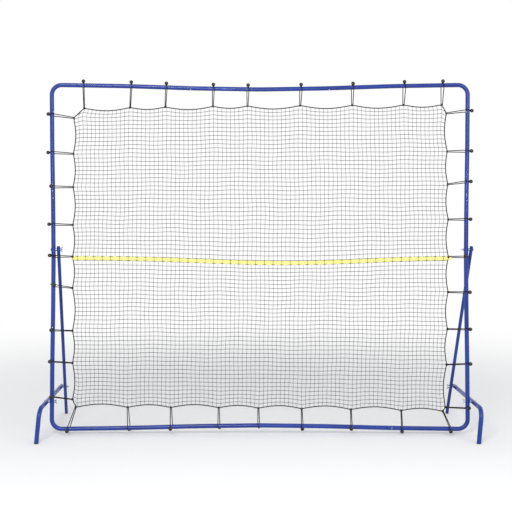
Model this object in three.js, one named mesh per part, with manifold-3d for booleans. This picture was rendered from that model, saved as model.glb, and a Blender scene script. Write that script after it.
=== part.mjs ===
// Rebound net for hitting practice: a steel tube frame on two bolted stands, with a net
// stretched inside it by elastic cords that each end in a ball.
// Millimetres, +Z up. The player stands on the -Y side; left and right are as the player sees them.
import * as THREE from 'three';
import { mergeGeometries, mergeVertices } from 'three/examples/jsm/utils/BufferGeometryUtils.js';
import Module from 'manifold-3d';

const wasm = await Module();
wasm.setup();

// Steel tubes of the frame, and how far the cords bend them
const FRAME_WIDTH = 2743;
const FRAME_HEIGHT = 2273;
const FLOOR_GAP = 23;
const TUBE_R = 14.3;
const WALL = 1.5;
const BEND_R = 64;
const TOP_SAG = 29;
const BASE_RISE = 23;
const SIDE_PULL = 11;

// Plug-in joints between the tubes: places and sizes of their lock buttons
const BUTTON_TOP_X = 451;
const BUTTON_BASE_X = 859;
const TOP_CORNER_DROP = 175.7;
const BASE_CORNER_RISE = 663.7;
const UPPER_TUBE_LENGTH = 472;
const HALF_PLUG_IN = 30;
const NECK = 6;
const BUTTON_R = 3.7;
const BUTTON_RISE = 4.2;
const BUTTON_DOME = 2;
const FLANGE_R = 5.4;
const FLANGE_T = 1.2;

// Stands: a rear leg and a foot bar on each side
const LEG_R = 11.1;
const LEG_BOLT_Z = 1208;
const BAR_Z = 215;
const LEG_FOOT_Y = 607;
const BAR_REACH = 230;
const FOOT_LEAN = 20;
const END_PAST_BOLT = 20;
const PLUG_RIM = 4;
const PLUG_DEPTH = 26;

// Bolts, spacers and wing nuts
const SHANK_R = 4;
const HEAD_R = 9;
const HEAD_T = 5;
const TIP_PAST_NUT = 5;
const TIP_BEVEL = 0.8;
const SPACER_R = 9;
const LEG_SPACER_T = 7;
const BAR_SPACER_T = 5;
const WASHER_T = 2.5;
const NUT_BASE_R = 8;
const NUT_TOP_R = 6.4;
const NUT_T = 9;
const WING_REACH = 17;
const WING_TOP = 17.5;
const WING_T = 3;

// Net, border rope, ball cords and tape
const ROPE_R = 3;
const SCALLOP = 17.5;
const SCALLOP_SPAN = 280;
const NET_T = 5;
const NET_STRAND = 4;
const NET_COLUMNS = 10;
const NET_ROWS = 8;
const NET_OFFSET = 155;
const NET_MARGIN = 30;
const KNOT_BOW_DEPTH = 24;
const CORD_R = 2.6;
const CORD_SPREAD = 9;
const BALL_R = 12.5;
const TAPE_WIDTH = 28;
const TAPE_T = 1.2;
const TAPE_HEIGHT = 1149.5;
const TAPE_RISE = 3;
const TAPE_DROP = 27.5;
const TAPE_WAVE = 3;
const TAPE_WAVES = 2;

// Distance of each net corner from the centre lines of its two tubes: shares of the net offset
const NET_CORNER_SHARES = {
  topLeft: [0.924, 0.985], topRight: [0.905, 0.83],
  baseLeft: [0.872, 0.908], baseRight: [0.943, 0.734],
};

// Bow of the knots outwards along each edge: shares of its depth
const KNOT_BOW_SHARES = { top: 0.208, base: -0.333, left: 0.167, right: 0.708 };

// One row per ball cord: place on the tube and on the rope, as shares of half the width from the
// middle, or of the height from the bar bolts to the top; turn of the ball about the tube from
// outside towards the front in degrees; and 1 where both strands leave by the front
const TIE_SHARES = {
  top: [
    [-0.8481, -0.8444, 14, 0], [-0.6182, -0.6233, 8, 0], [-0.4495, -0.4539, 20, 0],
    [-0.2233, -0.2255, 5, 0], [-0.0567, -0.0589, 16, 0], [0.1982, 0.1945, 10, 0],
    [0.4465, 0.445, 24, 0], [0.6955, 0.6911, 6, 0], [0.879, 0.8753, 18, 0],
  ],
  base: [
    [-0.921, -0.8856, 68, 0], [-0.63, -0.6351, -61, 0], [-0.4251, -0.4274, 73, 0],
    [-0.1967, -0.1975, -58, 0], [-0.0052, -0.0066, -64, 0], [0.2041, 0.2015, -32, 0],
    [0.4413, 0.4384, 75, 0], [0.6845, 0.6804, -24, 0], [0.9181, 0.8812, 63, 0],
  ],
  left: [
    [0.9063, 0.8961, 42, 0], [0.7868, 0.7829, 4, 0], [0.6784, 0.6774, 75, 0], [0.5598, 0.5584, 23, 0],
    [0.4592, 0.4582, 37, 1], [0.3673, 0.359, 112, 1], [0.225, 0.224, 77, 0], [0.1263, 0.1224, 64, 0],
    [0.015, 0.0073, 90, 0],
  ],
  right: [
    [0.9189, 0.9106, 6, 0], [0.7911, 0.7901, 20, 0], [0.6943, 0.6866, 30, 0], [0.5758, 0.5753, 15, 0],
    [0.4573, 0.4573, 112, 0], [0.345, 0.346, 44, 0], [0.2284, 0.2294, 44, 0], [0.119, 0.1171, 54, 0],
    [-0.0208, -0.0179, 84, 0],
  ],
};

// Turn of each wing nut's wings from upright, degrees
const WING_TURNS = {
  leg_left: 4, leg_right: 84, bar_left: 38, bar_right: -32, rear_left: 76, rear_right: 12,
};

// Wing outline: shares of the reach and of the height
const WING_SHARES = [
  [0.28, 0.1], [0.54, 0.14], [1, 0.56], [1, 0.86], [0.86, 1], [0.64, 0.94], [0.37, 0.47], [0.28, 0.47],
];

// Shoulder of a domed bolt head: shares of its radius and of its height
const DOME_SHARES = [0.68, 0.74];

// Clearances
const GAP = 0.3;
const BEARING_GAP = 0.05;
const SOFT_GAP = 0.7;
const ROPE_GAP = 0.4;
const OVERSHOOT = 1;

// Facets and steps
const TUBE_SIDES = 12;
const BOLT_SIDES = 8;
const BUTTON_SIDES = 8;
const ROPE_SIDES = 4;
const CORD_SIDES = 3;
const BEND_STEPS = 5;
const WRAP_STEP = 50;
const SCALLOP_STEPS = 3;
const TAPE_STEPS = 8;
const BOW_STEPS = 3;

// Derived places
const HALF_WIDTH = FRAME_WIDTH / 2 - TUBE_R;
const BASE_Z = FLOOR_GAP + TUBE_R;
const TOP_Z = FLOOR_GAP + FRAME_HEIGHT - TUBE_R;
const MIDDLE_Z = (BASE_Z + TOP_Z) / 2;
const STRAIGHT_X = HALF_WIDTH - BEND_R;
const STRAIGHT_Z = (TOP_Z - BASE_Z) / 2 - BEND_R;
const BORE_R = TUBE_R - WALL;
const SPIGOT_R = BORE_R - GAP;
const SPIGOT_BORE_R = SPIGOT_R - WALL;
const BEARING_R = (SHANK_R + BEARING_GAP) / Math.cos(Math.PI / BOLT_SIDES);
const REAR_Y = LEG_FOOT_Y * (LEG_BOLT_Z - BAR_Z) / LEG_BOLT_Z;
const LEG_OFFSET = TUBE_R + GAP + LEG_SPACER_T + GAP + LEG_R;
const BAR_OFFSET = TUBE_R + GAP + BAR_SPACER_T + GAP + TUBE_R;
const LEG_TO_BAR = LEG_R + GAP + WASHER_T + GAP + TUBE_R;
const WRAP_R = TUBE_R + SOFT_GAP + CORD_R;
const BALL_OUT = TUBE_R + SOFT_GAP + BALL_R;
const NET_INSET = ROPE_R + ROPE_GAP;
const BUTTON_CORNER_Z = TOP_Z - TOP_CORNER_DROP;
const BUTTON_UPPER_Z = BUTTON_CORNER_Z - UPPER_TUBE_LENGTH;
const BUTTON_LOWER_Z = BASE_Z + BASE_CORNER_RISE;

const vec = (x, y, z) => new THREE.Vector3(x, y, z);
const FRONT = vec(0, -1, 0);
const steps = (count, make) => Array.from({ length: count + 1 }, (_, i) => make(i / count));
const radians = THREE.MathUtils.degToRad;
const mix = THREE.MathUtils.lerp;

// Corners of the net and places of its ball cords, inside the frame
const netCorner = (side, z, up, [acrossShare, alongShare]) => [
  side * (HALF_WIDTH - NET_OFFSET * acrossShare), z - up * NET_OFFSET * alongShare];
const NET_CORNERS = {
  topLeft: netCorner(-1, TOP_Z, 1, NET_CORNER_SHARES.topLeft),
  topRight: netCorner(1, TOP_Z, 1, NET_CORNER_SHARES.topRight),
  baseLeft: netCorner(-1, BASE_Z, -1, NET_CORNER_SHARES.baseLeft),
  baseRight: netCorner(1, BASE_Z, -1, NET_CORNER_SHARES.baseRight),
};
const tiesFrom = (rows, placeOf) => rows.map(([tube, rope, ballTurn, hitched]) => ({
  tubePlace: placeOf(tube), ropePlace: placeOf(rope), ballTurn, hitched,
}));
const TIES = {
  top: tiesFrom(TIE_SHARES.top, (share) => HALF_WIDTH * share),
  base: tiesFrom(TIE_SHARES.base, (share) => HALF_WIDTH * share),
  left: tiesFrom(TIE_SHARES.left, (share) => mix(BAR_Z, TOP_Z, share)),
  right: tiesFrom(TIE_SHARES.right, (share) => mix(BAR_Z, TOP_Z, share)),
};

// Solids

function solidFrom(geometry) {
  const clean = geometry.clone();
  clean.deleteAttribute('normal');
  clean.deleteAttribute('uv');
  const welded = mergeVertices(clean, 1e-4);
  const faces = [];
  for (let i = 0; i < welded.index.count; i += 3) {
    const [a, b, c] = [0, 1, 2].map((k) => welded.index.getX(i + k));
    if (a !== b && b !== c && c !== a) faces.push(a, b, c);
  }
  return new wasm.Manifold(new wasm.Mesh({
    numProp: 3,
    vertProperties: new Float32Array(welded.attributes.position.array),
    triVerts: new Uint32Array(faces),
  }));
}

function geometryFrom(solid) {
  const mesh = solid.getMesh();
  const geometry = new THREE.BufferGeometry();
  geometry.setAttribute('position', new THREE.BufferAttribute(new Float32Array(mesh.vertProperties), 3));
  geometry.setIndex(new THREE.BufferAttribute(new Uint32Array(mesh.triVerts), 1));
  geometry.computeVertexNormals();
  return geometry;
}

const joinAll = (solids) => solids.reduce((whole, next) => whole.add(next));
const cutAll = (solid, cutters) => cutters.reduce((rest, cutter) => rest.subtract(cutter), solid);

// Direction of a route at each station; stations on one spot share theirs
function routeDirections(stations) {
  const apart = (a, b) => a.at.distanceTo(b.at) > 1e-6;
  return stations.map((station, i) => {
    const before = stations.slice(0, i).reverse().find((other) => apart(other, station));
    const after = stations.slice(i + 1).find((other) => apart(other, station));
    const direction = vec(0, 0, 0);
    if (before) direction.add(station.at.clone().sub(before.at).normalize());
    if (after) direction.add(after.at.clone().sub(station.at).normalize());
    return direction.normalize();
  });
}

// Solid of round section through stations { at, r }
function sweep(stations, sides) {
  const directions = routeDirections(stations);
  const side = Math.abs(directions[0].y) < 0.9 ? vec(0, 1, 0) : vec(0, 0, 1);
  const positions = [];
  stations.forEach(({ at, r }, i) => {
    side.addScaledVector(directions[i], -side.dot(directions[i])).normalize();
    const across = directions[i].clone().cross(side);
    for (let k = 0; k < sides; k += 1) {
      const turn = (k + 0.5) * 2 * Math.PI / sides;
      const point = at.clone().addScaledVector(side, r * Math.cos(turn));
      positions.push(...point.addScaledVector(across, r * Math.sin(turn)).toArray());
    }
  });
  const faces = [];
  for (let i = 0; i + 1 < stations.length; i += 1) {
    for (let k = 0; k < sides; k += 1) {
      const a = i * sides + k;
      const b = i * sides + (k + 1) % sides;
      faces.push(a, b, b + sides, a, b + sides, a + sides);
    }
  }
  const last = (stations.length - 1) * sides;
  for (let k = 1; k + 1 < sides; k += 1) {
    faces.push(0, k + 1, k, last, last + k, last + k + 1);
  }
  return new wasm.Manifold(new wasm.Mesh({
    numProp: 3, vertProperties: new Float32Array(positions), triVerts: new Uint32Array(faces),
  }));
}

const stationsOf = (route, r) => route.map((at) => ({ at, r }));
const rod = (from, to, r, sides) => sweep(stationsOf([from, to], r), sides);
const onwards = (from, through, length) => (
  through.clone().addScaledVector(through.clone().sub(from).normalize(), length));

// Turned solid: profile of [radius, height] pairs, its axis laid from a point along a direction
function turned(profile, sides, from, direction) {
  const shape = new THREE.LatheGeometry(profile.map(([r, h]) => new THREE.Vector2(r, h)), sides);
  shape.applyQuaternion(new THREE.Quaternion().setFromUnitVectors(vec(0, 1, 0), direction));
  return solidFrom(shape.translate(from.x, from.y, from.z));
}

// Flat outline of [x, z] points made into a plate between two Y values
function plate(outline, yFrom, yTo) {
  const shape = new THREE.Shape(outline.map(([x, z]) => new THREE.Vector2(x, z)));
  const body = new THREE.ExtrudeGeometry(shape, { depth: yTo - yFrom, bevelEnabled: false });
  body.rotateX(Math.PI / 2);
  return solidFrom(body.translate(0, yTo, 0));
}

// Centre lines of the frame, bowed by the pull of the cords

// A bow is straight between its stops, so what is set on a tube lies on its real facets
function hump(u) {
  const stop = Math.min(Math.abs(u), 1) * BOW_STEPS;
  const [low, high] = [Math.floor(stop), Math.ceil(stop)].map(
    (k) => (1 + Math.cos(Math.PI * k / BOW_STEPS)) / 2);
  return mix(low, high, stop - Math.floor(stop));
}

const STOPS_X = steps(2 * BOW_STEPS, (t) => STRAIGHT_X * (2 * t - 1));
const STOPS_Z = steps(2 * BOW_STEPS, (t) => MIDDLE_Z + STRAIGHT_Z * (2 * t - 1));
const topAt = (x) => vec(x, 0, TOP_Z - TOP_SAG * hump(x / STRAIGHT_X));
const baseAt = (x) => vec(x, 0, BASE_Z + BASE_RISE * hump(x / STRAIGHT_X));
const sideX = (z) => HALF_WIDTH - SIDE_PULL * hump((z - MIDDLE_Z) / STRAIGHT_Z);

// Points of a line through the given places and the bow's stops between them
function route(line, bowStops, ...places) {
  const points = [line(places[0])];
  places.slice(1).forEach((place, i) => {
    const between = bowStops.filter((stop) => (stop - places[i]) * (stop - place) < 0);
    if (place < places[i]) between.reverse();
    points.push(...[...between, place].map(line));
  });
  return points;
}

function cornerBend(side, up) {
  const centreZ = MIDDLE_Z + up * STRAIGHT_Z;
  return steps(BEND_STEPS, (t) => vec(
    side * (STRAIGHT_X + BEND_R * Math.sin(t * Math.PI / 2)), 0,
    centreZ + up * BEND_R * Math.cos(t * Math.PI / 2)));
}

// One end of a tube from its tip inwards: a spigot route, or an open socket where there is none
function tubeEnd(body, spigot) {
  if (!spigot) return { outer: [], bore: stationsOf([onwards(body[1], body[0], OVERSHOOT)], BORE_R) };
  const neck = onwards(body[1], body[0], -NECK);
  const past = onwards(spigot[1], spigot[0], OVERSHOOT);
  return {
    outer: stationsOf(spigot, SPIGOT_R),
    bore: [...stationsOf([past, ...spigot.slice(1), neck], SPIGOT_BORE_R), ...stationsOf([neck], BORE_R)],
  };
}

function frameTube(body, startSpigot, endSpigot) {
  const start = tubeEnd(body, startSpigot);
  const end = tubeEnd([...body].reverse(), endSpigot);
  const outer = [...start.outer, ...stationsOf(body, TUBE_R), ...end.outer.reverse()];
  const bore = [...start.bore, ...stationsOf(body.slice(1, -1), BORE_R), ...end.bore.reverse()];
  return sweep(outer, TUBE_SIDES).subtract(sweep(bore, TUBE_SIDES));
}

// Plug-in joint: place of its button, seam on the spigot tube's side, tip of the spigot
const plugIn = (button, away) => ({
  button, seam: button + away * HALF_PLUG_IN, tip: button - away * HALF_PLUG_IN,
  shoulder: button + away * (HALF_PLUG_IN + GAP),
});
const TOP_JOINT = plugIn(BUTTON_TOP_X, -1);
const CORNER_JOINT = plugIn(BUTTON_CORNER_Z, -1);
const UPPER_JOINT = plugIn(BUTTON_UPPER_Z, 1);
const LOWER_JOINT = plugIn(BUTTON_LOWER_Z, 1);
const BASE_JOINT = plugIn(BUTTON_BASE_X, -1);

function buttonPlaces(side) {
  const name = side < 0 ? 'left' : 'right';
  const facing = vec(0, side, 0);
  const at = (z) => vec(side * sideX(z), 0, z);
  return {
    [`button_top_${name}`]: [topAt(side * BUTTON_TOP_X), vec(0, -1, -1).normalize()],
    [`button_corner_${name}`]: [at(BUTTON_CORNER_Z), vec(-side, -1, 0).normalize()],
    [`button_upper_${name}`]: [at(BUTTON_UPPER_Z), facing],
    [`button_lower_${name}`]: [at(BUTTON_LOWER_Z), facing],
    [`button_base_${name}`]: [baseAt(side * BUTTON_BASE_X), facing.clone().negate()],
  };
}

const buttonBore = ([centre, out]) => (
  rod(centre, onwards(centre.clone().sub(out), centre, TUBE_R + OVERSHOOT), BUTTON_R + GAP, BUTTON_SIDES));

function button([centre, out]) {
  const flat = SPIGOT_BORE_R * Math.cos(Math.PI / TUBE_SIDES);
  const flange = Math.sqrt(flat * flat - FLANGE_R * FLANGE_R) - GAP;
  const crown = TUBE_R + BUTTON_RISE;
  return turned([
    [0, flange - FLANGE_T], [FLANGE_R, flange - FLANGE_T], [FLANGE_R, flange], [BUTTON_R, flange],
    [BUTTON_R, crown - BUTTON_DOME], [BUTTON_R / 2, crown - BUTTON_DOME / 4], [0, crown],
  ], BUTTON_SIDES, centre, out);
}

function frameTubes(side) {
  const name = side < 0 ? 'left' : 'right';
  const top = (x) => topAt(side * x);
  const base = (x) => baseAt(side * x);
  const upright = (z) => vec(side * sideX(z), 0, z);
  const buttonBores = Object.values(buttonPlaces(side)).map(buttonBore);
  const bore = (z) => boltBore(upright(z));
  const upTo = (...places) => route(upright, STOPS_Z, ...places);
  const topCorner = frameTube([
    ...route(top, STOPS_X, TOP_JOINT.seam, STRAIGHT_X), ...cornerBend(side, 1).slice(1),
    ...upTo(MIDDLE_Z + STRAIGHT_Z, CORNER_JOINT.seam).slice(1),
  ]);
  const upper = frameTube(
    upTo(CORNER_JOINT.shoulder, UPPER_JOINT.shoulder),
    upTo(CORNER_JOINT.tip, CORNER_JOINT.shoulder), upTo(UPPER_JOINT.tip, UPPER_JOINT.shoulder));
  const middle = frameTube(
    upTo(UPPER_JOINT.seam, LOWER_JOINT.shoulder), null, upTo(LOWER_JOINT.tip, LOWER_JOINT.shoulder));
  const baseCorner = frameTube([
    ...upTo(LOWER_JOINT.seam, MIDDLE_Z - STRAIGHT_Z),
    ...cornerBend(side, -1).reverse().slice(1),
    ...route(base, STOPS_X, STRAIGHT_X, BASE_JOINT.seam).slice(1),
  ]);
  return {
    [`top_corner_${name}`]: cutAll(topCorner, buttonBores),
    [`side_upper_${name}`]: cutAll(upper, buttonBores),
    [`side_middle_${name}`]: cutAll(middle, [...buttonBores, bore(LEG_BOLT_Z)]),
    [`base_corner_${name}`]: cutAll(baseCorner, [...buttonBores, bore(BAR_Z)]),
  };
}

// Centre tube of the top or the base, a spigot at either end
function centreTube(line, joint, places) {
  const between = (from, to) => route(line, STOPS_X, from, to);
  const tube = frameTube(
    between(-joint.shoulder, joint.shoulder),
    between(-joint.tip, -joint.shoulder), between(joint.tip, joint.shoulder));
  return cutAll(tube, places.map(buttonBore));
}

// Bolts: each lies along X, its head on one side and its wing nut on the other

const boltBore = (at) => rod(
  at.clone().setX(at.x - 2 * TUBE_R), at.clone().setX(at.x + 2 * TUBE_R), BEARING_R, BOLT_SIDES);

function boltHead(at, direction, length) {
  return turned([
    [0, -HEAD_T], [HEAD_R * DOME_SHARES[0], -HEAD_T * DOME_SHARES[1]], [HEAD_R, 0],
    [SHANK_R, 0], [SHANK_R, length - TIP_BEVEL], [SHANK_R - TIP_BEVEL, length], [0, length],
  ], BOLT_SIDES, at, direction);
}

function ring(from, direction, outerR, thickness) {
  const to = from.clone().addScaledVector(direction, thickness);
  const bore = rod(onwards(to, from, OVERSHOOT), onwards(from, to, OVERSHOOT), BEARING_R, BOLT_SIDES);
  return rod(from, to, outerR, BOLT_SIDES).subtract(bore);
}

function wingNut(at, direction, turnDegrees) {
  const hub = turned([
    [0, 0], [NUT_BASE_R, 0], [NUT_TOP_R, NUT_T], [0, NUT_T],
  ], BOLT_SIDES, at, direction);
  const wings = [0, Math.PI].map((half) => {
    const reach = vec(0, 0, 1).applyAxisAngle(vec(1, 0, 0), radians(turnDegrees) + half);
    const outline = WING_SHARES.map(([r, h]) => new THREE.Vector2(r * WING_REACH, h * WING_TOP));
    const wing = new THREE.ExtrudeGeometry(new THREE.Shape(outline), { depth: WING_T, bevelEnabled: false });
    wing.translate(0, 0, -WING_T / 2);
    wing.applyMatrix4(new THREE.Matrix4().makeBasis(reach, direction, reach.clone().cross(direction)));
    return solidFrom(wing.translate(at.x, at.y, at.z));
  });
  const bore = rod(
    at.clone().addScaledVector(direction, -OVERSHOOT),
    at.clone().addScaledVector(direction, NUT_T + OVERSHOOT), BEARING_R, BOLT_SIDES);
  return joinAll([hub, ...wings]).subtract(bore);
}

// Bolt through a stack whose head side and nut side are at these X values
function boltStack(y, z, headX, nutX) {
  const direction = vec(Math.sign(nutX - headX), 0, 0);
  const head = vec(headX, y, z).addScaledVector(direction, -GAP);
  const nut = vec(nutX, y, z).addScaledVector(direction, GAP);
  const length = head.distanceTo(nut) + NUT_T + TIP_PAST_NUT;
  return { direction, head, nut, length };
}

// Stand on one side: both legs bolt to the right-hand side of their upright, both bars outside it
function stand(side) {
  const name = side < 0 ? 'left' : 'right';
  const uprightTopX = side * sideX(LEG_BOLT_Z);
  const uprightLowX = side * sideX(BAR_Z);
  const legTopX = uprightTopX + LEG_OFFSET;
  const barX = uprightLowX + side * BAR_OFFSET;
  const legRearX = barX - side * LEG_TO_BAR;
  const legAt = (z) => {
    const share = (LEG_BOLT_Z - z) / (LEG_BOLT_Z - BAR_Z);
    return vec(mix(legTopX, legRearX, share), REAR_Y * share, z);
  };
  const barRoute = barLine(barX);
  const legTop = onwards(legAt(BAR_Z), legAt(LEG_BOLT_Z), END_PAST_BOLT);
  const legRoute = [legTop, legAt(-TUBE_R)];
  const rearBore = boltBore(vec(barX, REAR_Y, BAR_Z));
  const legRearBore = boltBore(vec(legRearX, REAR_Y, BAR_Z));
  const legStack = side < 0
    ? boltStack(0, LEG_BOLT_Z, uprightTopX - TUBE_R, legTopX + LEG_R)
    : boltStack(0, LEG_BOLT_Z, legTopX + LEG_R, uprightTopX - TUBE_R);
  const barStack = boltStack(0, BAR_Z, barX + side * TUBE_R, uprightLowX - side * TUBE_R);
  const rearStack = boltStack(REAR_Y, BAR_Z, barX + side * TUBE_R, legRearX - side * LEG_R);
  const inner = vec(-side, 0, 0);
  const outward = vec(side, 0, 0);
  const studFrom = vec(legRearX + side * (LEG_R + GAP + WASHER_T), REAR_Y, BAR_Z);
  const headLength = 2 * TUBE_R + GAP - TIP_BEVEL;
  const nutOf = (stack, place) => wingNut(stack.nut, stack.direction, WING_TURNS[`${place}_${name}`]);
  return {
    [`leg_${name}`]: cutAll(
      openTube(legRoute, LEG_R), [boltBore(vec(legTopX, 0, LEG_BOLT_Z)), legRearBore]),
    [`foot_bar_${name}`]: cutAll(
      openTube(barRoute, TUBE_R), [boltBore(vec(barX, 0, BAR_Z)), rearBore]),
    [`plug_leg_${name}`]: endPlug(legRoute, LEG_R),
    [`plug_bar_${name}`]: endPlug(barRoute, TUBE_R),
    [`bolt_leg_${name}`]: boltHead(legStack.head, legStack.direction, legStack.length),
    [`bolt_bar_${name}`]: boltHead(barStack.head, barStack.direction, barStack.length),
    [`bolt_rear_head_${name}`]: boltHead(rearStack.head, rearStack.direction, headLength),
    [`bolt_rear_stud_${name}`]: rod(
      studFrom, rearStack.nut.clone().addScaledVector(inner, NUT_T + TIP_PAST_NUT), SHANK_R, BOLT_SIDES),
    [`spacer_leg_${name}`]: ring(
      vec(uprightTopX + TUBE_R + GAP, 0, LEG_BOLT_Z), vec(1, 0, 0), SPACER_R, LEG_SPACER_T),
    [`spacer_bar_${name}`]: ring(
      vec(uprightLowX + side * (TUBE_R + GAP), 0, BAR_Z), outward, SPACER_R, BAR_SPACER_T),
    [`washer_rear_${name}`]: ring(
      vec(legRearX + side * (LEG_R + GAP), REAR_Y, BAR_Z), outward, SPACER_R, WASHER_T),
    [`wing_nut_leg_${name}`]: nutOf(legStack, 'leg'),
    [`wing_nut_bar_${name}`]: nutOf(barStack, 'bar'),
    [`wing_nut_rear_${name}`]: nutOf(rearStack, 'rear'),
  };
}

// Foot bar: level from its rear bolt to the front, then bent down to the floor
function barLine(x) {
  const leaning = (y, z) => vec(x - FOOT_LEAN * (BAR_Z - z) / BAR_Z, y, z);
  const bend = steps(BEND_STEPS, (t) => leaning(
    -BAR_REACH + BEND_R * (1 - Math.sin(t * Math.PI / 2)),
    BAR_Z - BEND_R * (1 - Math.cos(t * Math.PI / 2))));
  return [vec(x, REAR_Y + END_PAST_BOLT, BAR_Z), ...bend, leaning(-BAR_REACH, -TUBE_R)];
}

// Open tube, cut level just above the rim of its foot plug
function openTube(line, r) {
  const bore = [onwards(line[1], line[0], OVERSHOOT), ...line.slice(1, -1),
    onwards(line.at(-2), line.at(-1), OVERSHOOT)];
  const tube = sweep(stationsOf(line, r), TUBE_SIDES);
  return tube.subtract(sweep(stationsOf(bore, r - WALL), TUBE_SIDES))
    .trimByPlane([0, 0, 1], PLUG_RIM + GAP);
}

// Foot plug: a level rim on the floor and a stem up the tube
function endPlug(line, r) {
  const [inside, tip] = [line.at(-2), line.at(-1)];
  const rim = rod(inside, tip, r, TUBE_SIDES).trimByPlane([0, 0, -1], -PLUG_RIM);
  const stemR = (r - WALL) * Math.cos(Math.PI / TUBE_SIDES) - GAP;
  const stem = rod(inside, tip, stemR, TUBE_SIDES).trimByPlane([0, 0, -1], -PLUG_DEPTH);
  return rim.add(stem).trimByPlane([0, 0, 1], 0);
}

// Border rope, ball cords, net and tape

const EDGES = {
  top: { from: 'topLeft', to: 'topRight', axis: 0, out: vec(0, 0, 1), run: vec(1, 0, 0), tube: topAt },
  base: { from: 'baseLeft', to: 'baseRight', axis: 0, out: vec(0, 0, -1), run: vec(-1, 0, 0), tube: baseAt },
  left: {
    from: 'topLeft', to: 'baseLeft', axis: 1, out: vec(-1, 0, 0), run: vec(0, 0, 1),
    tube: (z) => vec(-sideX(z), 0, z),
  },
  right: {
    from: 'topRight', to: 'baseRight', axis: 1, out: vec(1, 0, 0), run: vec(0, 0, 1),
    tube: (z) => vec(sideX(z), 0, z),
  },
};

// Point of the rope's knot line at a place along its edge
function knotAt(key, place) {
  const edge = EDGES[key];
  const [from, to] = [NET_CORNERS[edge.from], NET_CORNERS[edge.to]];
  const t = (place - from[edge.axis]) / (to[edge.axis] - from[edge.axis]);
  const point = vec(mix(from[0], to[0], t), 0, mix(from[1], to[1], t));
  const bow = KNOT_BOW_DEPTH * KNOT_BOW_SHARES[key];
  return point.addScaledVector(edge.out, bow * Math.sin(Math.PI * THREE.MathUtils.clamp(t, 0, 1)));
}

// The rope cuts a corner of the net, straight from the last knot of one edge to the first of the next
function cutCorner(name) {
  const knots = Object.entries(EDGES).filter(([, edge]) => [edge.from, edge.to].includes(name)).map(
    ([key, edge]) => knotAt(key, TIES[key].at(edge.from === name ? 0 : -1).ropePlace));
  return knots[0].lerp(knots[1], 0.5);
}

// Rope of one edge: knots at the cords, drawn inwards between them
function ropeRoute(key) {
  const { from, to, out } = EDGES[key];
  const places = TIES[key].map((tie) => tie.ropePlace);
  const points = [cutCorner(from), knotAt(key, places[0])];
  places.slice(1).forEach((place, i) => {
    const depth = SCALLOP * Math.abs(place - places[i]) / SCALLOP_SPAN;
    steps(SCALLOP_STEPS, (t) => t).slice(1).forEach((t) => {
      const point = knotAt(key, mix(places[i], place, t));
      points.push(point.addScaledVector(out, -depth * Math.sin(Math.PI * t)));
    });
  });
  return [...points, cutCorner(to)];
}

// Odd, so that a flat of the wrap faces straight out and not a corner
const oddCount = (least) => 2 * Math.ceil((least - 1) / 2) + 1;

// Ball cord: a strand from the rope, round the tube, and back to the rope, with its ball on the turn
function ballCord(key, { tubePlace, ropePlace, ballTurn, hitched }) {
  const { out, run, tube } = EDGES[key];
  const centre = tube(tubePlace);
  const knot = knotAt(key, ropePlace);
  const apart = Math.abs(knot.clone().sub(centre).dot(out));
  const leave = 90 + THREE.MathUtils.radToDeg(Math.asin(WRAP_R / apart));
  const sweepAngle = hitched ? 360 : 2 * leave;
  const count = oddCount(sweepAngle / WRAP_STEP);
  const wrapR = WRAP_R / Math.cos(radians(sweepAngle / count / 2));
  const shiftAt = (turn) => CORD_SPREAD * (1 - 2 * (leave - turn) / sweepAngle);
  const around = (turn, r, shift) => centre.clone()
    .addScaledVector(out, r * Math.cos(radians(turn)))
    .addScaledVector(FRONT, r * Math.sin(radians(turn)))
    .addScaledVector(run, shift);
  const wrap = steps(count, (t) => {
    const turn = leave - sweepAngle * t;
    return around(turn, wrapR, shiftAt(turn));
  });
  const end = (shift) => knot.clone().addScaledVector(run, shift);
  const cord = sweep(stationsOf([end(CORD_R + GAP), ...wrap, end(-CORD_R - GAP)], CORD_R), CORD_SIDES);
  const seat = THREE.MathUtils.clamp(shiftAt(ballTurn), -CORD_SPREAD, CORD_SPREAD);
  const ballAt = around(ballTurn, BALL_OUT, seat);
  const ball = new THREE.IcosahedronGeometry(BALL_R);
  return cord.add(solidFrom(ball.translate(ballAt.x, ballAt.y, ballAt.z)));
}

function tiedEdge(key) {
  const line = ropeRoute(key);
  const trim = EDGES[key].axis === 0 ? 0 : ROPE_GAP;
  const [first, last] = [onwards(line[1], line[0], -trim), onwards(line.at(-2), line.at(-1), -trim)];
  const rope = sweep(stationsOf([first, ...line.slice(1, -1), last], ROPE_R), ROPE_SIDES);
  return joinAll([rope, ...TIES[key].map((tie) => ballCord(key, tie))]);
}

// Closed outline a given distance inside the rope
function insideRope(inset) {
  const loop = [
    ropeRoute('base'), ropeRoute('right').reverse(), ropeRoute('top').reverse(), ropeRoute('left'),
  ].flatMap((run) => run.slice(1, -1));
  const inwards = (from, to) => FRONT.clone().cross(to.clone().sub(from)).normalize();
  return loop.map((point, i) => {
    const [a, b] = [inwards(loop.at(i - 1), point), inwards(point, loop[(i + 1) % loop.length])];
    const moved = point.clone().addScaledVector(a.clone().add(b), inset / (1 + a.dot(b)));
    return [moved.x, moved.z];
  });
}

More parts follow.
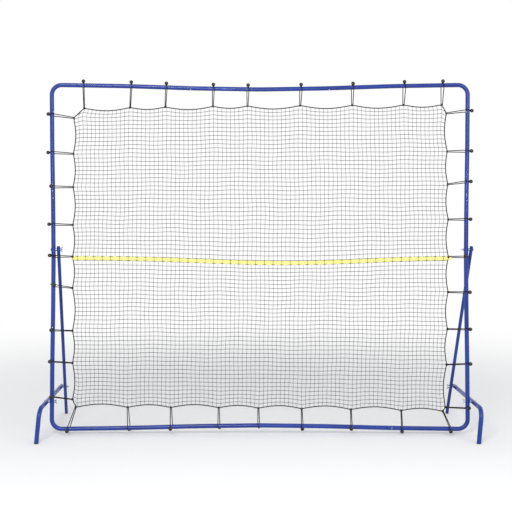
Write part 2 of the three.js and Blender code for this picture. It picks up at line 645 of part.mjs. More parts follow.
function net() {
  const spans = Object.values(NET_CORNERS);
  const [left, right] = [Math.min, Math.max].map((pick) => pick(...spans.map(([x]) => x)));
  const [low, high] = [Math.min, Math.max].map((pick) => pick(...spans.map(([, z]) => z)));
  const wide = (right - left + 2 * NET_MARGIN) / NET_COLUMNS;
  const tall = (high - low + 2 * NET_MARGIN) / NET_ROWS;
  const cells = [];
  for (let i = 0; i < NET_COLUMNS; i += 1) {
    for (let j = 0; j < NET_ROWS; j += 1) {
      const cell = new THREE.BoxGeometry(wide - NET_STRAND, 2 * NET_T, tall - NET_STRAND);
      cells.push(cell.translate(
        left - NET_MARGIN + (i + 0.5) * wide, 0, low - NET_MARGIN + (j + 0.5) * tall));
    }
  }
  const whole = plate(insideRope(NET_INSET), -NET_T / 2, NET_T / 2);
  const rimmed = plate(insideRope(NET_INSET + NET_STRAND), -NET_T, NET_T);
  return whole.subtract(solidFrom(mergeGeometries(cells)).intersect(rimmed));
}

function tape() {
  const ends = [TAPE_HEIGHT - TAPE_RISE / 2, TAPE_HEIGHT + TAPE_RISE / 2];
  const [leftX, rightX] = ['left', 'right'].map((key, i) => knotAt(key, ends[i]).x);
  const heightAt = (t) => mix(...ends, t) - TAPE_DROP * Math.sin(Math.PI * t)
    + TAPE_WAVE * Math.sin(2 * Math.PI * TAPE_WAVES * t);
  const edge = (offset) => steps(TAPE_STEPS, (t) => [mix(leftX, rightX, t), heightAt(t) + offset]);
  const outline = [...edge(-TAPE_WIDTH / 2), ...edge(TAPE_WIDTH / 2).reverse()];
  return plate(outline, -ROPE_R - ROPE_GAP - TAPE_T, -ROPE_R - ROPE_GAP);
}

// Whole object

const BLUE = { color: 0x2a48a0, roughness: 0.32, metalness: 0.15 };
const ZINC = { color: 0xc3ccd6, roughness: 0.3, metalness: 0.9 };
const BLACK = { color: 0x151617, roughness: 0.55, metalness: 0 };
const CORD = { color: 0x1a1a1b, roughness: 0.85, metalness: 0 };
const YELLOW = { color: 0xf6f09a, roughness: 0.8, metalness: 0 };

const paintFor = (name) => {
  if (/^(top|side|base|leg|foot_bar)_/.test(name)) return BLUE;
  if (/^plug_/.test(name)) return BLACK;
  if (/^(net|ties_)/.test(name)) return CORD;
  return name === 'tape' ? YELLOW : ZINC;
};

function allSolids() {
  const places = [-1, 1].map(buttonPlaces);
  const pick = (kind) => ['left', 'right'].map((name, i) => places[i][`button_${kind}_${name}`]);
  const solids = {
    ...frameTubes(-1), ...frameTubes(1),
    top_centre: centreTube(topAt, TOP_JOINT, pick('top')),
    base_centre: centreTube(baseAt, BASE_JOINT, pick('base')),
    ...stand(-1), ...stand(1),
    net: net(), tape: tape(),
  };
  places.forEach((side) => Object.entries(side).forEach(([name, place]) => {
    solids[name] = button(place);
  }));
  Object.keys(EDGES).forEach((key) => { solids[`ties_${key}`] = tiedEdge(key); });
  return solids;
}

const part = new THREE.Group();
part.name = 'rebound_net';
for (const [name, solid] of Object.entries(allSolids())) {
  const mesh = new THREE.Mesh(geometryFrom(solid), new THREE.MeshStandardMaterial(paintFor(name)));
  mesh.name = name;
  part.add(mesh);
}

// The origin lies on the floor under the middle of the whole object
const middle = new THREE.Box3().setFromObject(part).getCenter(vec(0, 0, 0));
part.children.forEach((mesh) => mesh.geometry.translate(-middle.x, -middle.y, 0));

export default part;
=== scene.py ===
# %% [markdown]
# # A rebound net for hitting practice
# This notebook dresses a measured model of a free-standing rebound net. The model gives every tube,
# bolt and cord its place; here each piece gets its smooth form and its finish. Lengths in the cells
# are millimetres in the frame's own axes: X to the right, Y away from the player, Z up, with X and Y
# at zero in the middle of the frame. One matrix at the end of each piece turns them into metres.

# %% Load the measured model
import math
import bmesh
import bpy
import numpy as np
from mathutils import Matrix, Vector


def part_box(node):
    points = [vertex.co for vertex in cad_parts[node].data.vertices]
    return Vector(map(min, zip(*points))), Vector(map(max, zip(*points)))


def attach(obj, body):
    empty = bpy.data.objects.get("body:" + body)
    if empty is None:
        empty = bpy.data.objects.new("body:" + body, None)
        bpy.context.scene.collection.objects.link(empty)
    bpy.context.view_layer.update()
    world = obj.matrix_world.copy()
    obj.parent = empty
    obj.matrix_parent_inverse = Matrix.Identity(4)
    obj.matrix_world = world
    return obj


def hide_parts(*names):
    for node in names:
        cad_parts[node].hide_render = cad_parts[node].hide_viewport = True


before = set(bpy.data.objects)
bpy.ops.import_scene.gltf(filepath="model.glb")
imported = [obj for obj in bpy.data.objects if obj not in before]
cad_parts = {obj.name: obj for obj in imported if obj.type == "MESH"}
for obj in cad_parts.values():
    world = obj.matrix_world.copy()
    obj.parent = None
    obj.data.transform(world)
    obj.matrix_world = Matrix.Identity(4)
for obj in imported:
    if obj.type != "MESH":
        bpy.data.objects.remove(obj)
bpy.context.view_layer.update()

MM = 0.001
SIDES = ((-1, "left"), (1, "right"))

low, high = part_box("top_centre")
MIDDLE_X = (low.x + high.x) / 2
low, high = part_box("bolt_leg_left")
FRAME_Y = (low.y + high.y) / 2
TO_METRES = Matrix.Translation((MIDDLE_X, FRAME_Y, 0)) @ Matrix.Scale(MM, 4)
print("nodes", len(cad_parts), "frame plane at Y", round(FRAME_Y, 4), "middle X", round(MIDDLE_X, 4))

# %% [markdown]
# ## Camera
# The horizon of the photograph lies at the height where lines that run away from the viewer meet.
# Here it is above the middle of the picture, so the camera stands level at that height and the
# picture is shifted down instead of tilting the camera. That keeps the uprights parallel, as they
# are in the photograph.

# %% Camera
CAMERA_LEFT, CAMERA_BACK, HORIZON_Z = 0.155, 6.1, 1.53


def placed(name, data):
    """Put an object with this data into the scene."""
    thing = bpy.data.objects.new(name, data)
    bpy.context.scene.collection.objects.link(thing)
    return thing


def mesh_of(bm, name="loose"):
    """Turn a bmesh into a mesh, and free it."""
    mesh = bpy.data.meshes.new(name)
    bm.to_mesh(mesh)
    bm.free()
    return mesh


camera_data = bpy.data.cameras.new("camera")
camera = placed("camera", camera_data)
bpy.context.scene.camera = camera
camera.location = (MIDDLE_X - CAMERA_LEFT, FRAME_Y - CAMERA_BACK, HORIZON_Z)
camera.rotation_euler = (math.radians(90), 0, 0)
camera_data.lens = 65.7
camera_data.sensor_width = 36
camera_data.shift_x = 0.039
camera_data.shift_y = -0.109
camera_data.clip_end = 100
bpy.context.scene.view_settings.view_transform = "Standard"
print("camera at", tuple(round(v, 3) for v in camera.location))

# %% [markdown]
# ## Finishes
# Each finish is a Principled shader whose colour, roughness and bump come from procedural patterns
# in object coordinates, so a pattern stays on its piece from every side. A small class keeps the
# wiring short: it makes a node, sets its inputs, and links what is handed to it. Most finishes are
# mottled: each of the three comes from a noise of its own, given by its scale and its detail.

# %% Helpers for shader nodes
class Wiring:
    """The shader nodes of a material or of the world."""
    def __init__(self, owner):
        owner.use_nodes = True
        self.tree = owner.node_tree

    def feed(self, socket, value):
        """Link a socket or set its value; a colour of three channels gets its alpha."""
        if isinstance(value, bpy.types.NodeSocket):
            self.tree.links.new(value, socket)
        elif isinstance(value, tuple) and len(value) == 3 and len(socket.default_value) == 4:
            socket.default_value = (*value, 1)
        else:
            socket.default_value = value

    def node(self, kind, inputs=None, **settings):
        made = self.tree.nodes.new(f"ShaderNode{kind}")
        for name, value in settings.items():
            setattr(made, name, value)
        for key, value in (inputs or {}).items():
            self.feed(made.inputs[key], value)
        return made

    def math(self, operation, *values):
        return self.node("Math", dict(enumerate(values)), operation=operation).outputs[0]

    def either(self, share, first, second):
        return self.node("MixShader", {"Fac": share, 1: first, 2: second}).outputs[0]

    def seen_by_camera(self):
        """1 for rays from the camera, for reflections and for rays that pass through, 0 for light."""
        rays = self.node("LightPath").outputs
        total = rays["Is Camera Ray"]
        for kind in ("Is Glossy Ray", "Is Transmission Ray"):
            total = self.math("MAXIMUM", total, rays[kind])
        return total


# %% Helpers for finishes
def linear(*channels):
    """Colour as a screen shows it, 0 to 255, turned into the values that light adds up in."""
    return tuple(((c / 255 + 0.055) / 1.055) ** 2.4 if c > 10 else c / 255 / 12.92 for c in channels)


class Finish(Wiring):
    def __init__(self, name):
        self.material = bpy.data.materials.new(name)
        super().__init__(self.material)
        self.shader = self.tree.nodes["Principled BSDF"]
        self.place = self.node("TexCoord").outputs["Object"]

    def set(self, **inputs):
        for name, value in inputs.items():
            self.feed(self.shader.inputs[name.replace("_", " ")], value)

    def noise(self, scale, detail, stretch=None):
        source = self.place
        if stretch:
            source = self.node("Mapping", {"Vector": source, "Scale": stretch}).outputs[0]
        return self.node("TexNoise", {"Vector": source, "Scale": scale, "Detail": detail}).outputs["Fac"]

    def ramp(self, value, *stops):
        """Two stops, each a place and what it gives: a grey value or a colour as a screen shows it."""
        made = self.node("ValToRGB", {0: value})
        for mark, (place, colour) in zip(made.color_ramp.elements, stops):
            mark.position = place
            mark.color = (*(linear(*colour) if isinstance(colour, tuple) else 3 * (colour,)), 1)
        return made.outputs[0]

    def mix(self, share, first, second):
        return self.node("Mix", {"Factor": share, 6: first, 7: second}, data_type="RGBA").outputs[2]

    def bump(self, height, strength, distance):
        raised = self.node("Bump", {"Height": height, "Strength": strength, "Distance": distance})
        self.set(Normal=raised.outputs[0])


def mottled(name, colour, rough, bump, **more):
    """Finish from three noises: two with their ramps, and one with its strength and its depth."""
    finish = Finish(name)
    finish.tone, roughness = [finish.ramp(finish.noise(*noise), *stops)
                              for noise, *stops in (colour, rough)]
    finish.set(Base_Color=finish.tone, Roughness=roughness, **more)
    finish.bump(finish.noise(*bump[0]), *bump[1:])
    return finish


# %% [markdown]
# ## Floor and light
# A pale floor takes the shadows. Far from the frame it fades into plain white, which only the camera
# and reflections see, so that no grey band lies behind the net. The world is white in the same way and
# gives an even light. Two wide lamps stand to the left and right, and a small one beside the camera
# makes the narrow highlights that a flash leaves on glossy tubes.

# %% Floor
FLOOR_HALF, FADE_FROM, FADE_TO = 40, 0.5, 6.0

bm = bmesh.new()
bmesh.ops.create_grid(bm, x_segments=1, y_segments=1, size=FLOOR_HALF)
plane = placed("floor", mesh_of(bm, "floor"))
floor = Finish("floor")
floor.set(Base_Color=(0.96, 0.96, 0.955), Roughness=0.9)
far = floor.node("VectorMath", {0: floor.place}, operation="LENGTH").outputs["Value"]
fade = floor.node("MapRange", {"Value": far, "From Min": FADE_FROM, "From Max": FADE_TO},
                  interpolation_type="SMOOTHERSTEP").outputs["Result"]
share = floor.math("MULTIPLY", fade, floor.seen_by_camera())
surface = floor.either(share, floor.shader.outputs[0], floor.node("Emission").outputs[0])
floor.feed(floor.tree.nodes["Material Output"].inputs["Surface"], surface)
plane.data.materials.append(floor.material)
print("floor", 2 * FLOOR_HALF, "m wide")

# %% World and lamps
world = bpy.data.worlds.new("studio")
bpy.context.scene.world = world
sky = Wiring(world)
sky.tree.nodes.clear()
light, white = [sky.node("Background", {"Color": colour, "Strength": strength}).outputs[0]
                for colour, strength in (((0.95, 0.97, 1), 0.62), ((1, 1, 1), 1))]
sky.node("OutputWorld", {"Surface": sky.either(sky.seen_by_camera(), light, white)})


def lamp(name, at, aim_z, size, watts):
    """Square lamp that looks at a height on the middle line of the model."""
    data = bpy.data.lights.new(name, "AREA")
    data.size, data.energy = size, watts
    holder = placed(name, data)
    holder.location = at
    holder.rotation_euler = (Vector((0, 0, aim_z)) - Vector(at)).to_track_quat("-Z", "Y").to_euler()


lamp("key_lamp", at=(-1.6, -6.5, 4.6), aim_z=1.0, size=2.2, watts=250)
lamp("fill_lamp", at=(3.4, -4.5, 3.2), aim_z=1.0, size=2.5, watts=70)
lamp("near_lamp", at=(MIDDLE_X - 0.2, FRAME_Y - 6.3, 1.75), aim_z=1.2, size=0.45, watts=60)
print("world and three lamps made")

# %% [markdown]
# ## Blue powder coat
# Powder coat melts into a glossy skin with a faint orange-peel ripple. The ripple is a fine noise in
# the bump, a wide soft noise shifts the blue a little, and small sparse nicks let dull steel through
# where tubes have knocked together.

# %% Blue powder coat
blue = mottled(
    "blue_powder_coat", colour=((3.5, 3), (0.35, (13, 41, 121)), (0.65, (22, 54, 139))),
    rough=((22, 3), (0.3, 0.24), (0.7, 0.38)), bump=((420, 1.5), 0.12, 0.0006),
    Specular_IOR_Level=0.3, Coat_Weight=0.2, Coat_Roughness=0.08)
nicks = blue.ramp(blue.noise(160, 4), (0.735, 0.0), (0.75, 1.0))
blue.set(Base_Color=blue.mix(nicks, blue.tone, linear(84, 88, 98)))

# %% [markdown]
# ## Zinc and bright steel
# The bolts and wing nuts are bright zinc plate, which is grey metal with a cloudy tint and soft
# fingerprints in its roughness. The lock buttons are polished steel, a little paler and smoother.

# %% Zinc and bright steel
zinc = mottled(
    "bright_zinc_plate", colour=((260, 3), (0.3, (146, 154, 170)), (0.7, (184, 188, 192))),
    rough=((520, 3), (0.3, 0.2), (0.75, 0.42)), bump=((1400, 2), 0.1, 0.0002), Metallic=1.0)
steel = mottled(
    "polished_steel", colour=((300, 2), (0.3, (172, 178, 188)), (0.7, (196, 200, 208))),
    rough=((700, 3), (0.35, 0.08), (0.8, 0.24)), bump=((1800, 2), 0.05, 0.0001), Metallic=1.0)

# %% [markdown]
# ## Black plastic of plugs and balls
# Moulded black plastic is never quite black. The foot plugs are matt and dusty near the floor; the
# balls of the cords are glossier, with faint scuffs.

# %% Black plastic
plug_black = mottled(
    "moulded_black", colour=((90, 4), (0.4, (24, 24, 25)), (0.8, (58, 56, 52))),
    rough=((160, 3), (0.3, 0.48), (0.7, 0.66)), bump=((1500, 2), 0.2, 0.0003))
ball_black = mottled(
    "ball_black", colour=((120, 3), (0.4, (16, 16, 17)), (0.8, (34, 34, 35))),
    rough=((240, 4), (0.35, 0.22), (0.75, 0.42)), bump=((900, 2), 0.08, 0.0002))

# %% [markdown]
# ## Cords
# A braided sheath shows as two sets of ridges that cross. They follow the cord, so they can't come
# from object coordinates: each cord mesh carries its length along the cord and its turn around it,
# and the product of two opposite spirals makes the braid.

# %% Cords
def braided(name, dark, pale, pitch, spirals, depth):
    cord = Finish(name)
    along = cord.node("Attribute", attribute_name="along").outputs["Fac"]
    turn = cord.node("Attribute", attribute_name="turn").outputs["Vector"]
    parts = cord.node("SeparateXYZ", {0: turn}).outputs
    angle = cord.math("MULTIPLY", cord.math("ARCTAN2", parts[1], parts[0]), float(spirals))
    travel = cord.math("MULTIPLY", along, 2 * math.pi / pitch)
    one, other = [cord.math("SINE", cord.math(way, travel, angle)) for way in ("ADD", "SUBTRACT")]
    braid = cord.math("ADD", cord.math("MULTIPLY", cord.math("MULTIPLY", one, other), 0.5), 0.5)
    fuzz = cord.noise(900, 3)
    # The colour follows the braid's relief: darker in the grooves and paler on the ridges, which is painted
    # shade and painted highlight; the fuzz adds random tone.
    cord.set(Base_Color=cord.ramp(cord.math("MULTIPLY", braid, fuzz), (0.1, dark), (0.6, pale)),
             Roughness=cord.ramp(fuzz, (0.3, 0.62), (0.7, 0.85)), Specular_IOR_Level=0.3)
    cord.bump(braid, 0.5, depth)
    return cord


rope_black = braided("border_rope", (8, 8, 9), (30, 30, 32), pitch=0.009, spirals=2, depth=0.0005)
elastic_black = braided("elastic_sheath", (10, 9, 9), (36, 32, 30), pitch=0.006, spirals=3, depth=0.0003)
net_black = mottled(
    "net_twine", colour=((500, 3), (0.35, (8, 8, 9)), (0.75, (24, 24, 26))),
    rough=((300, 2), (0.3, 0.55), (0.7, 0.8)), bump=((1600, 2), 0.4, 0.0004))

# %% [markdown]
# ## Modelling helpers
# A few helpers make nearly every shape here. `loft` grows a ring along a line by extruding its edge
# again and again. `turned` spins a profile round an axis. `drilled` cuts round holes. `finished`
# moves the mesh into metres, turns its faces outwards and hands it to its body.

# %% Helpers for lines
TOO_CLOSE, UPRIGHT_LIMIT = 1, 0.9
EASE_BELOW, EASE_SHARE, EASE_STEPS = math.radians(150), 0.48, (0, 0.2, 0.4, 0.6, 0.8, 1)
QUARTER = math.pi / 2


def arc(turn, count):
    """Angles from 0 to a turn in equal steps."""
    return [turn * i / count for i in range(count + 1)]


def frames_along(points):
    """One matrix per point: its Z along the line, its X kept from rolling."""
    ways = []
    for i, point in enumerate(points):
        way = Vector()
        for onwards, others in ((-1, reversed(points[:i])), (1, points[i + 1:])):
            away = next((p - point for p in others if (p - point).length > TOO_CLOSE), Vector())
            way += away.normalized() * onwards
        ways.append(way.normalized())
    before = ways[0]
    side = Vector((0, 1, 0)) if abs(before.y) < UPRIGHT_LIMIT else Vector((0, 0, 1))
    found = []
    for point, way in zip(points, ways):
        side, before = before.rotation_difference(way) @ side, way
        side = (side - way * side.dot(way)).normalized()
        turn = Matrix((side, way.cross(side), way)).transposed().to_4x4()
        found.append(Matrix.Translation(point) @ turn)
    return found


def eased(points, reach, closed=False):
    """Round every sharp corner of a line with a short curve that stays within reach of it."""
    found = []
    for i, here in enumerate(points):
        before, after = points[i - 1] - here, points[(i + 1) % len(points)] - here
        is_end = not closed and i in (0, len(points) - 1)
        if is_end or before.angle(after) > EASE_BELOW:
            found.append(here)
            continue
        start = here + before.normalized() * min(reach, before.length * EASE_SHARE)
        end = here + after.normalized() * min(reach, after.length * EASE_SHARE)
        found += [start.lerp(here, t).lerp(here.lerp(end, t), t) for t in EASE_STEPS]
    return found


# %% Helpers for meshes
def verts_in(geom):
    return [g for g in geom if isinstance(g, bmesh.types.BMVert)]


def edges_in(geom):
    return [g for g in geom if isinstance(g, bmesh.types.BMEdge)]


def loft(bm, rings, sides, close=False):
    """Grow a ring through (matrix, radius) pairs; close joins the last ring to the first."""
    along = bm.verts.layers.float.get("along") or bm.verts.layers.float.new("along")
    turn = bm.verts.layers.float_vector.get("turn") or bm.verts.layers.float_vector.new("turn")
    frame_here, radius = rings[0]
    here = frame_here @ Matrix.Scale(radius, 4)
    verts = bmesh.ops.create_circle(bm, segments=sides, radius=1, matrix=here)["verts"]
    edges = list(dict.fromkeys(edge for vert in verts for edge in vert.link_edges))
    first, travelled = edges, 0.0

    def mark(ring, matrix):
        back = matrix.inverted()
        for vert in ring:
            spot = back @ vert.co
            vert[along] = travelled * MM
            vert[turn] = (spot.x, spot.y, 0)

    mark(verts, here)
    for frame_next, radius in rings[1:]:
        grown = bmesh.ops.extrude_edge_only(bm, edges=edges)["geom"]
        verts, edges = verts_in(grown), [edge for edge in edges_in(grown) if edge.is_boundary]
        there = frame_next @ Matrix.Scale(radius, 4)
        travelled += (there.translation - here.translation).length
        bmesh.ops.transform(bm, matrix=there @ here.inverted(), verts=verts)
        here = there
        mark(verts, here)
    if close:
        bmesh.ops.bridge_loops(bm, edges=first + edges)
    else:
        bmesh.ops.contextual_create(bm, geom=first)
        bmesh.ops.contextual_create(bm, geom=edges)


def turned(profile, matrix, steps=28, ring=False):
    """Spin (radius, height) pairs round Z, then lay them by the matrix; ring closes the profile."""
    bm = bmesh.new()
    verts = [bm.verts.new((r, 0, h)) for r, h in profile]
    pairs = list(zip(verts, verts[1:])) + ([(verts[-1], verts[0])] if ring else [])
    edges = [bm.edges.new(pair) for pair in pairs]
    bmesh.ops.spin(bm, geom=verts + edges, cent=(0, 0, 0), axis=(0, 0, 1), angle=2 * math.pi,
                   steps=steps, use_merge=True, dvec=(0, 0, 0))
    bmesh.ops.remove_doubles(bm, verts=bm.verts, dist=1e-4)
    bmesh.ops.transform(bm, matrix=matrix, verts=bm.verts)
    return bm


def poured(target, source):
    """Add one bmesh to another."""
    mesh = mesh_of(source)
    target.from_mesh(mesh)
    bpy.data.meshes.remove(mesh)


def facing(at, direction):
    """Matrix at a point with its Z along a direction."""
    return Matrix.Translation(at) @ Vector(direction).to_track_quat("Z", "Y").to_matrix().to_4x4()


def evaluated(holder, *others):
    """Take over what an object's modifiers make of its mesh, and remove the loose objects."""
    result = bmesh.new()
    result.from_object(holder, bpy.context.evaluated_depsgraph_get())
    for loose in (holder, *others):
        mesh = loose.data
        bpy.data.objects.remove(loose)
        bpy.data.meshes.remove(mesh)
    return result


def drilled(bm, bores):
    """Cut round holes with a Boolean: each bore is a start, a direction, a radius and a length."""
    bits = bmesh.new()
    for at, way, radius, length in bores:
        profile = [(0, 0), (radius, 0), (radius, length), (0, length)]
        poured(bits, turned(profile, facing(at, way), steps=24))
    pair = []
    for source in (bm, bits):
        bmesh.ops.recalc_face_normals(source, faces=source.faces)
        pair.append(placed("loose", mesh_of(source)))
    cut = pair[0].modifiers.new("holes", "BOOLEAN")
    cut.operation, cut.solver, cut.object = "DIFFERENCE", "EXACT", pair[1]
    return evaluated(*pair)


made_triangles = 0


def finished(bm, name, finish, body, slot, *nodes, sharp=38):
    """Metres, faces outwards, smooth shading, then the body and the nodes it dresses; the slot is not used.
    """
    global made_triangles
    bmesh.ops.transform(bm, matrix=TO_METRES, verts=bm.verts)
    bmesh.ops.recalc_face_normals(bm, faces=bm.faces)
    mesh = mesh_of(bm, name)
    mesh.shade_smooth()
    mesh.set_sharp_from_angle(angle=math.radians(sharp))
    mesh.materials.append(finish.material)
    piece = placed(name, mesh)
    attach(piece, body)
    if nodes:
        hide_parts(*nodes)
    made_triangles += sum(len(face.vertices) - 2 for face in mesh.polygons)
    return piece


# %% [markdown]
# ## Centre lines of the frame
# The elastic cords pull the top bar down, the base bar up and the uprights inwards. Each bow is a
# cosine hump, straight between a few stops as in the measured model, and averaged over a short
# stretch so that no kink catches the light.

# %% Centre lines of the frame
WIDTH, HEIGHT, FLOOR_GAP = 2743, 2273, 23
TUBE_R, WALL, BEND_R = 14.3, 1.5, 64
TOP_SAG, BASE_RISE, SIDE_PULL = 29, 23, 11
HALF_WIDTH = WIDTH / 2 - TUBE_R
BASE_Z = FLOOR_GAP + TUBE_R
TOP_Z = FLOOR_GAP + HEIGHT - TUBE_R
MIDDLE_Z = (BASE_Z + TOP_Z) / 2
STRAIGHT_X = HALF_WIDTH - BEND_R
STRAIGHT_Z = (TOP_Z - BASE_Z) / 2 - BEND_R
BOW_STEPS, BLUR_STEPS, BLUR = 3, 3, 0.015
RING_STEP, BEND_STEPS = 26, 14


def stopped_bow(u):
    stop = min(abs(u), 1) * BOW_STEPS
    low_stop, high_stop = math.floor(stop), math.ceil(stop)
    heights = [(1 + math.cos(math.pi * k / BOW_STEPS)) / 2 for k in (low_stop, high_stop)]
    return heights[0] + (heights[1] - heights[0]) * (stop - low_stop)


def bow(u):
    blur = range(-BLUR_STEPS, BLUR_STEPS + 1)
    return sum(stopped_bow(u + k * BLUR) for k in blur) / len(blur)


def top_at(x):
    return Vector((x, 0, TOP_Z - TOP_SAG * bow(x / STRAIGHT_X)))


def base_at(x):
    return Vector((x, 0, BASE_Z + BASE_RISE * bow(x / STRAIGHT_X)))


def side_x(z):
    return HALF_WIDTH - SIDE_PULL * bow((z - MIDDLE_Z) / STRAIGHT_Z)


def upright_line(side):
    """The upright of one side, as a function of its height."""
    return lambda z: Vector((side * side_x(z), 0, z))


def between(line, start, end):
    count = max(1, round(abs(end - start) / RING_STEP))
    return [line(start + (end - start) * i / count) for i in range(count + 1)]


def corner(side, up):
    centre_z = MIDDLE_Z + up * STRAIGHT_Z
    return [Vector((side * (STRAIGHT_X + BEND_R * math.sin(t)), 0, centre_z + up * BEND_R * math.cos(t)))
            for t in arc(QUARTER, BEND_STEPS)]


print("frame", WIDTH, "by", HEIGHT, "mm, bars from Z", round(BASE_Z, 1), "to", round(TOP_Z, 1))

# %% [markdown]
# ## Tubes of the frame
# Ten tubes plug together: one end of a joint is drawn down to a spigot, the other is a plain socket.
# Each tube could be a curve with a bevel, but a lofted shell gives the real wall, the shoulder of the
# spigot and the fine seam where two tubes meet. The rings run up the outside and back down the bore.

# %% Shell of a tube
SPIGOT_R = TUBE_R - WALL - 0.3
SPIGOT_BORE_R = SPIGOT_R - WALL
TUBE_SIDES = 32
OUTER_RIM, INNER_RIM = (0.4, 0.5), (0.25, 0.4)
SHOULDER_FOOT, SHOULDER_EASE, NECK = 0.05, 0.5, 4


def tube_shell(points, spigot_start, spigot_end, r=TUBE_R):
    """Closed shell along points; a spigot end is drawn down for the given number of points."""
    frames = frames_along(points)
    outer, inner = [], []
    last = len(points) - 1
    for i, matrix in enumerate(frames):
        drawn = i < spigot_start or i > last - spigot_end
        outer_r, inner_r = (SPIGOT_R, SPIGOT_BORE_R) if drawn else (r, r - WALL)
        if i in (0, last):
            outer_steps = [(0, outer_r - OUTER_RIM[0]), (OUTER_RIM[1], outer_r)]
            inner_steps = [(0, inner_r + INNER_RIM[0]), (INNER_RIM[1], inner_r)]
        elif i in (spigot_start, last - spigot_end):
            outer_steps = [(0, SPIGOT_R), (SHOULDER_FOOT, r - SHOULDER_EASE), (SHOULDER_EASE, r)]
            inner_steps = [(0, SPIGOT_BORE_R), (NECK, r - WALL)]
        else:
            outer_steps, inner_steps = [(0, outer_r)], [(0, inner_r)]
        # each step is a distance into the tube and a radius
        way = 1 if i in (0, spigot_start) else -1
        for rings, steps in ((outer, outer_steps), (inner, inner_steps)):
            rings += [(Matrix.Translation(matrix.to_3x3() @ Vector((0, 0, far * way))) @ matrix, radius)
                      for far, radius in steps[::way]]
    bm = bmesh.new()
    loft(bm, outer + inner[::-1], TUBE_SIDES, close=True)
    return bm


# %% Joints and bolt holes
PLUG_IN, PIN_HOLE_R, PIN_BORE, BOLT_HOLE_R, BOLT_BORE = 30, 4.1, 20, 4.4, 40
TOP_JOINT, CORNER_JOINT, UPPER_JOINT, LOWER_JOINT, BASE_JOINT = 451, 2106, 1634, 701, 859
SHOULDER = PLUG_IN + 0.3
LEG_BOLT_Z, BAR_Z = 1208, 215


def button_places(side):
    """Where the lock buttons stand, and the way they point."""
    upright = upright_line(side)
    return {
        "top": (top_at(side * TOP_JOINT), (0, -1, -1)), "corner": (upright(CORNER_JOINT), (-side, -1, 0)),
        "upper": (upright(UPPER_JOINT), (0, side, 0)), "lower": (upright(LOWER_JOINT), (0, side, 0)),
        "base": (base_at(side * BASE_JOINT), (0, -side, 0))}


def bolt_bore(x, y, z):
    return (Vector((x - BOLT_BORE / 2, y, z)), (1, 0, 0), BOLT_HOLE_R, BOLT_BORE)


def frame_tube(name, *, bores, body=(), start=(), end=()):
    points = [*start, *body, *end]
    bm = drilled(tube_shell(points, len(start), len(end)), bores)
    finished(bm, f"tube_{name}", blue, "frame", "blue_paint", name)


def straight_tube(name, line, start, end, bores, socket=False):
    """Tube between two joints: a spigot at its end, and at its start unless that is a socket."""
    way = 1 if end > start else -1
    spigots = [between(line, joint - way * PLUG_IN, joint + way * PLUG_IN) for joint in (start, end)]
    body_start = start - way * PLUG_IN if socket else start + way * SHOULDER
    frame_tube(name, bores=bores, start=() if socket else spigots[0][:-1], end=spigots[1][1:],
               body=between(line, body_start, end - way * SHOULDER))


# %% Ten tubes
for side, word in SIDES:
    upright = upright_line(side)
    high_z, low_z = MIDDLE_Z + STRAIGHT_Z, MIDDLE_Z - STRAIGHT_Z
    pins = {place: (at, way, PIN_HOLE_R, PIN_BORE) for place, (at, way) in button_places(side).items()}
    leg_bore, bar_bore = [bolt_bore(side * side_x(z), 0, z) for z in (LEG_BOLT_Z, BAR_Z)]
    frame_tube(f"top_corner_{word}", bores=[pins["top"], pins["corner"]], body=[
        *between(top_at, side * (TOP_JOINT - PLUG_IN), side * STRAIGHT_X), *corner(side, 1)[1:],
        *between(upright, high_z, CORNER_JOINT - PLUG_IN)[1:]])
    straight_tube(f"side_upper_{word}", upright, CORNER_JOINT, UPPER_JOINT, [pins["corner"], pins["upper"]])
    straight_tube(f"side_middle_{word}", upright, UPPER_JOINT, LOWER_JOINT,
                  [pins["upper"], pins["lower"], leg_bore], socket=True)
    frame_tube(f"base_corner_{word}", bores=[pins["lower"], pins["base"], bar_bore], body=[
        *between(upright, LOWER_JOINT + PLUG_IN, low_z), *corner(side, -1)[::-1][1:],
        *between(base_at, side * STRAIGHT_X, side * (BASE_JOINT - PLUG_IN))[1:]])

for word, line, joint in (("top", top_at, TOP_JOINT), ("base", base_at, BASE_JOINT)):
    straight_tube(f"{word}_centre", line, -joint, joint,
                  [(*button_places(side)[word], PIN_HOLE_R, PIN_BORE) for side, _ in SIDES])
print("ten tubes,", made_triangles, "triangles so far")

# %% [markdown]
# ## Lock buttons
# A sprung steel button stands in a hole at each plug-in joint. It is a turned pin with a domed nose
# and a flange that keeps it inside the tube.

# %% Lock buttons
BUTTON_R, BUTTON_RISE, BUTTON_DOME, FLANGE_R, FLANGE_T, FLANGE_EASE = 3.7, 4.2, 2.2, 5.4, 1.2, 0.3
BORE_FLATS = 12


def button(name, centre, out):
    """The flange sits just inside the bore, which has flats in the measured model."""
    bore = SPIGOT_BORE_R * math.cos(math.pi / BORE_FLATS)
    flange = math.sqrt(bore ** 2 - FLANGE_R ** 2) - 0.3
    crown = TUBE_R + BUTTON_RISE
    dome = [(BUTTON_R * math.cos(t), crown - BUTTON_DOME + BUTTON_DOME * math.sin(t))
            for t in arc(QUARTER, 7)]
    profile = [(0, flange - FLANGE_T), (FLANGE_R - FLANGE_EASE, flange - FLANGE_T),
               (FLANGE_R, flange - FLANGE_T + FLANGE_EASE), (FLANGE_R, flange - 0.2),
               (FLANGE_R - 0.2, flange), (BUTTON_R, flange), *dome[:-1], (0, crown)]
    bm = turned(profile, facing(centre, out))
    finished(bm, f"pin_{name}", steel, name, "bright_button", name)


for side, word in SIDES:
    for place, (at, way) in button_places(side).items():
        button(f"button_{place}_{word}", at, way)
print("ten buttons")

# %% [markdown]
# ## Stands
# On each side a slim rear leg is bolted to the upright at mid height and a bent foot bar is bolted
# near the floor; the two meet at a third bolt behind. Tubes are lofted along their centre line, cut
# level with a plane just above the floor, and the cut wall is closed by bridging its two rims.

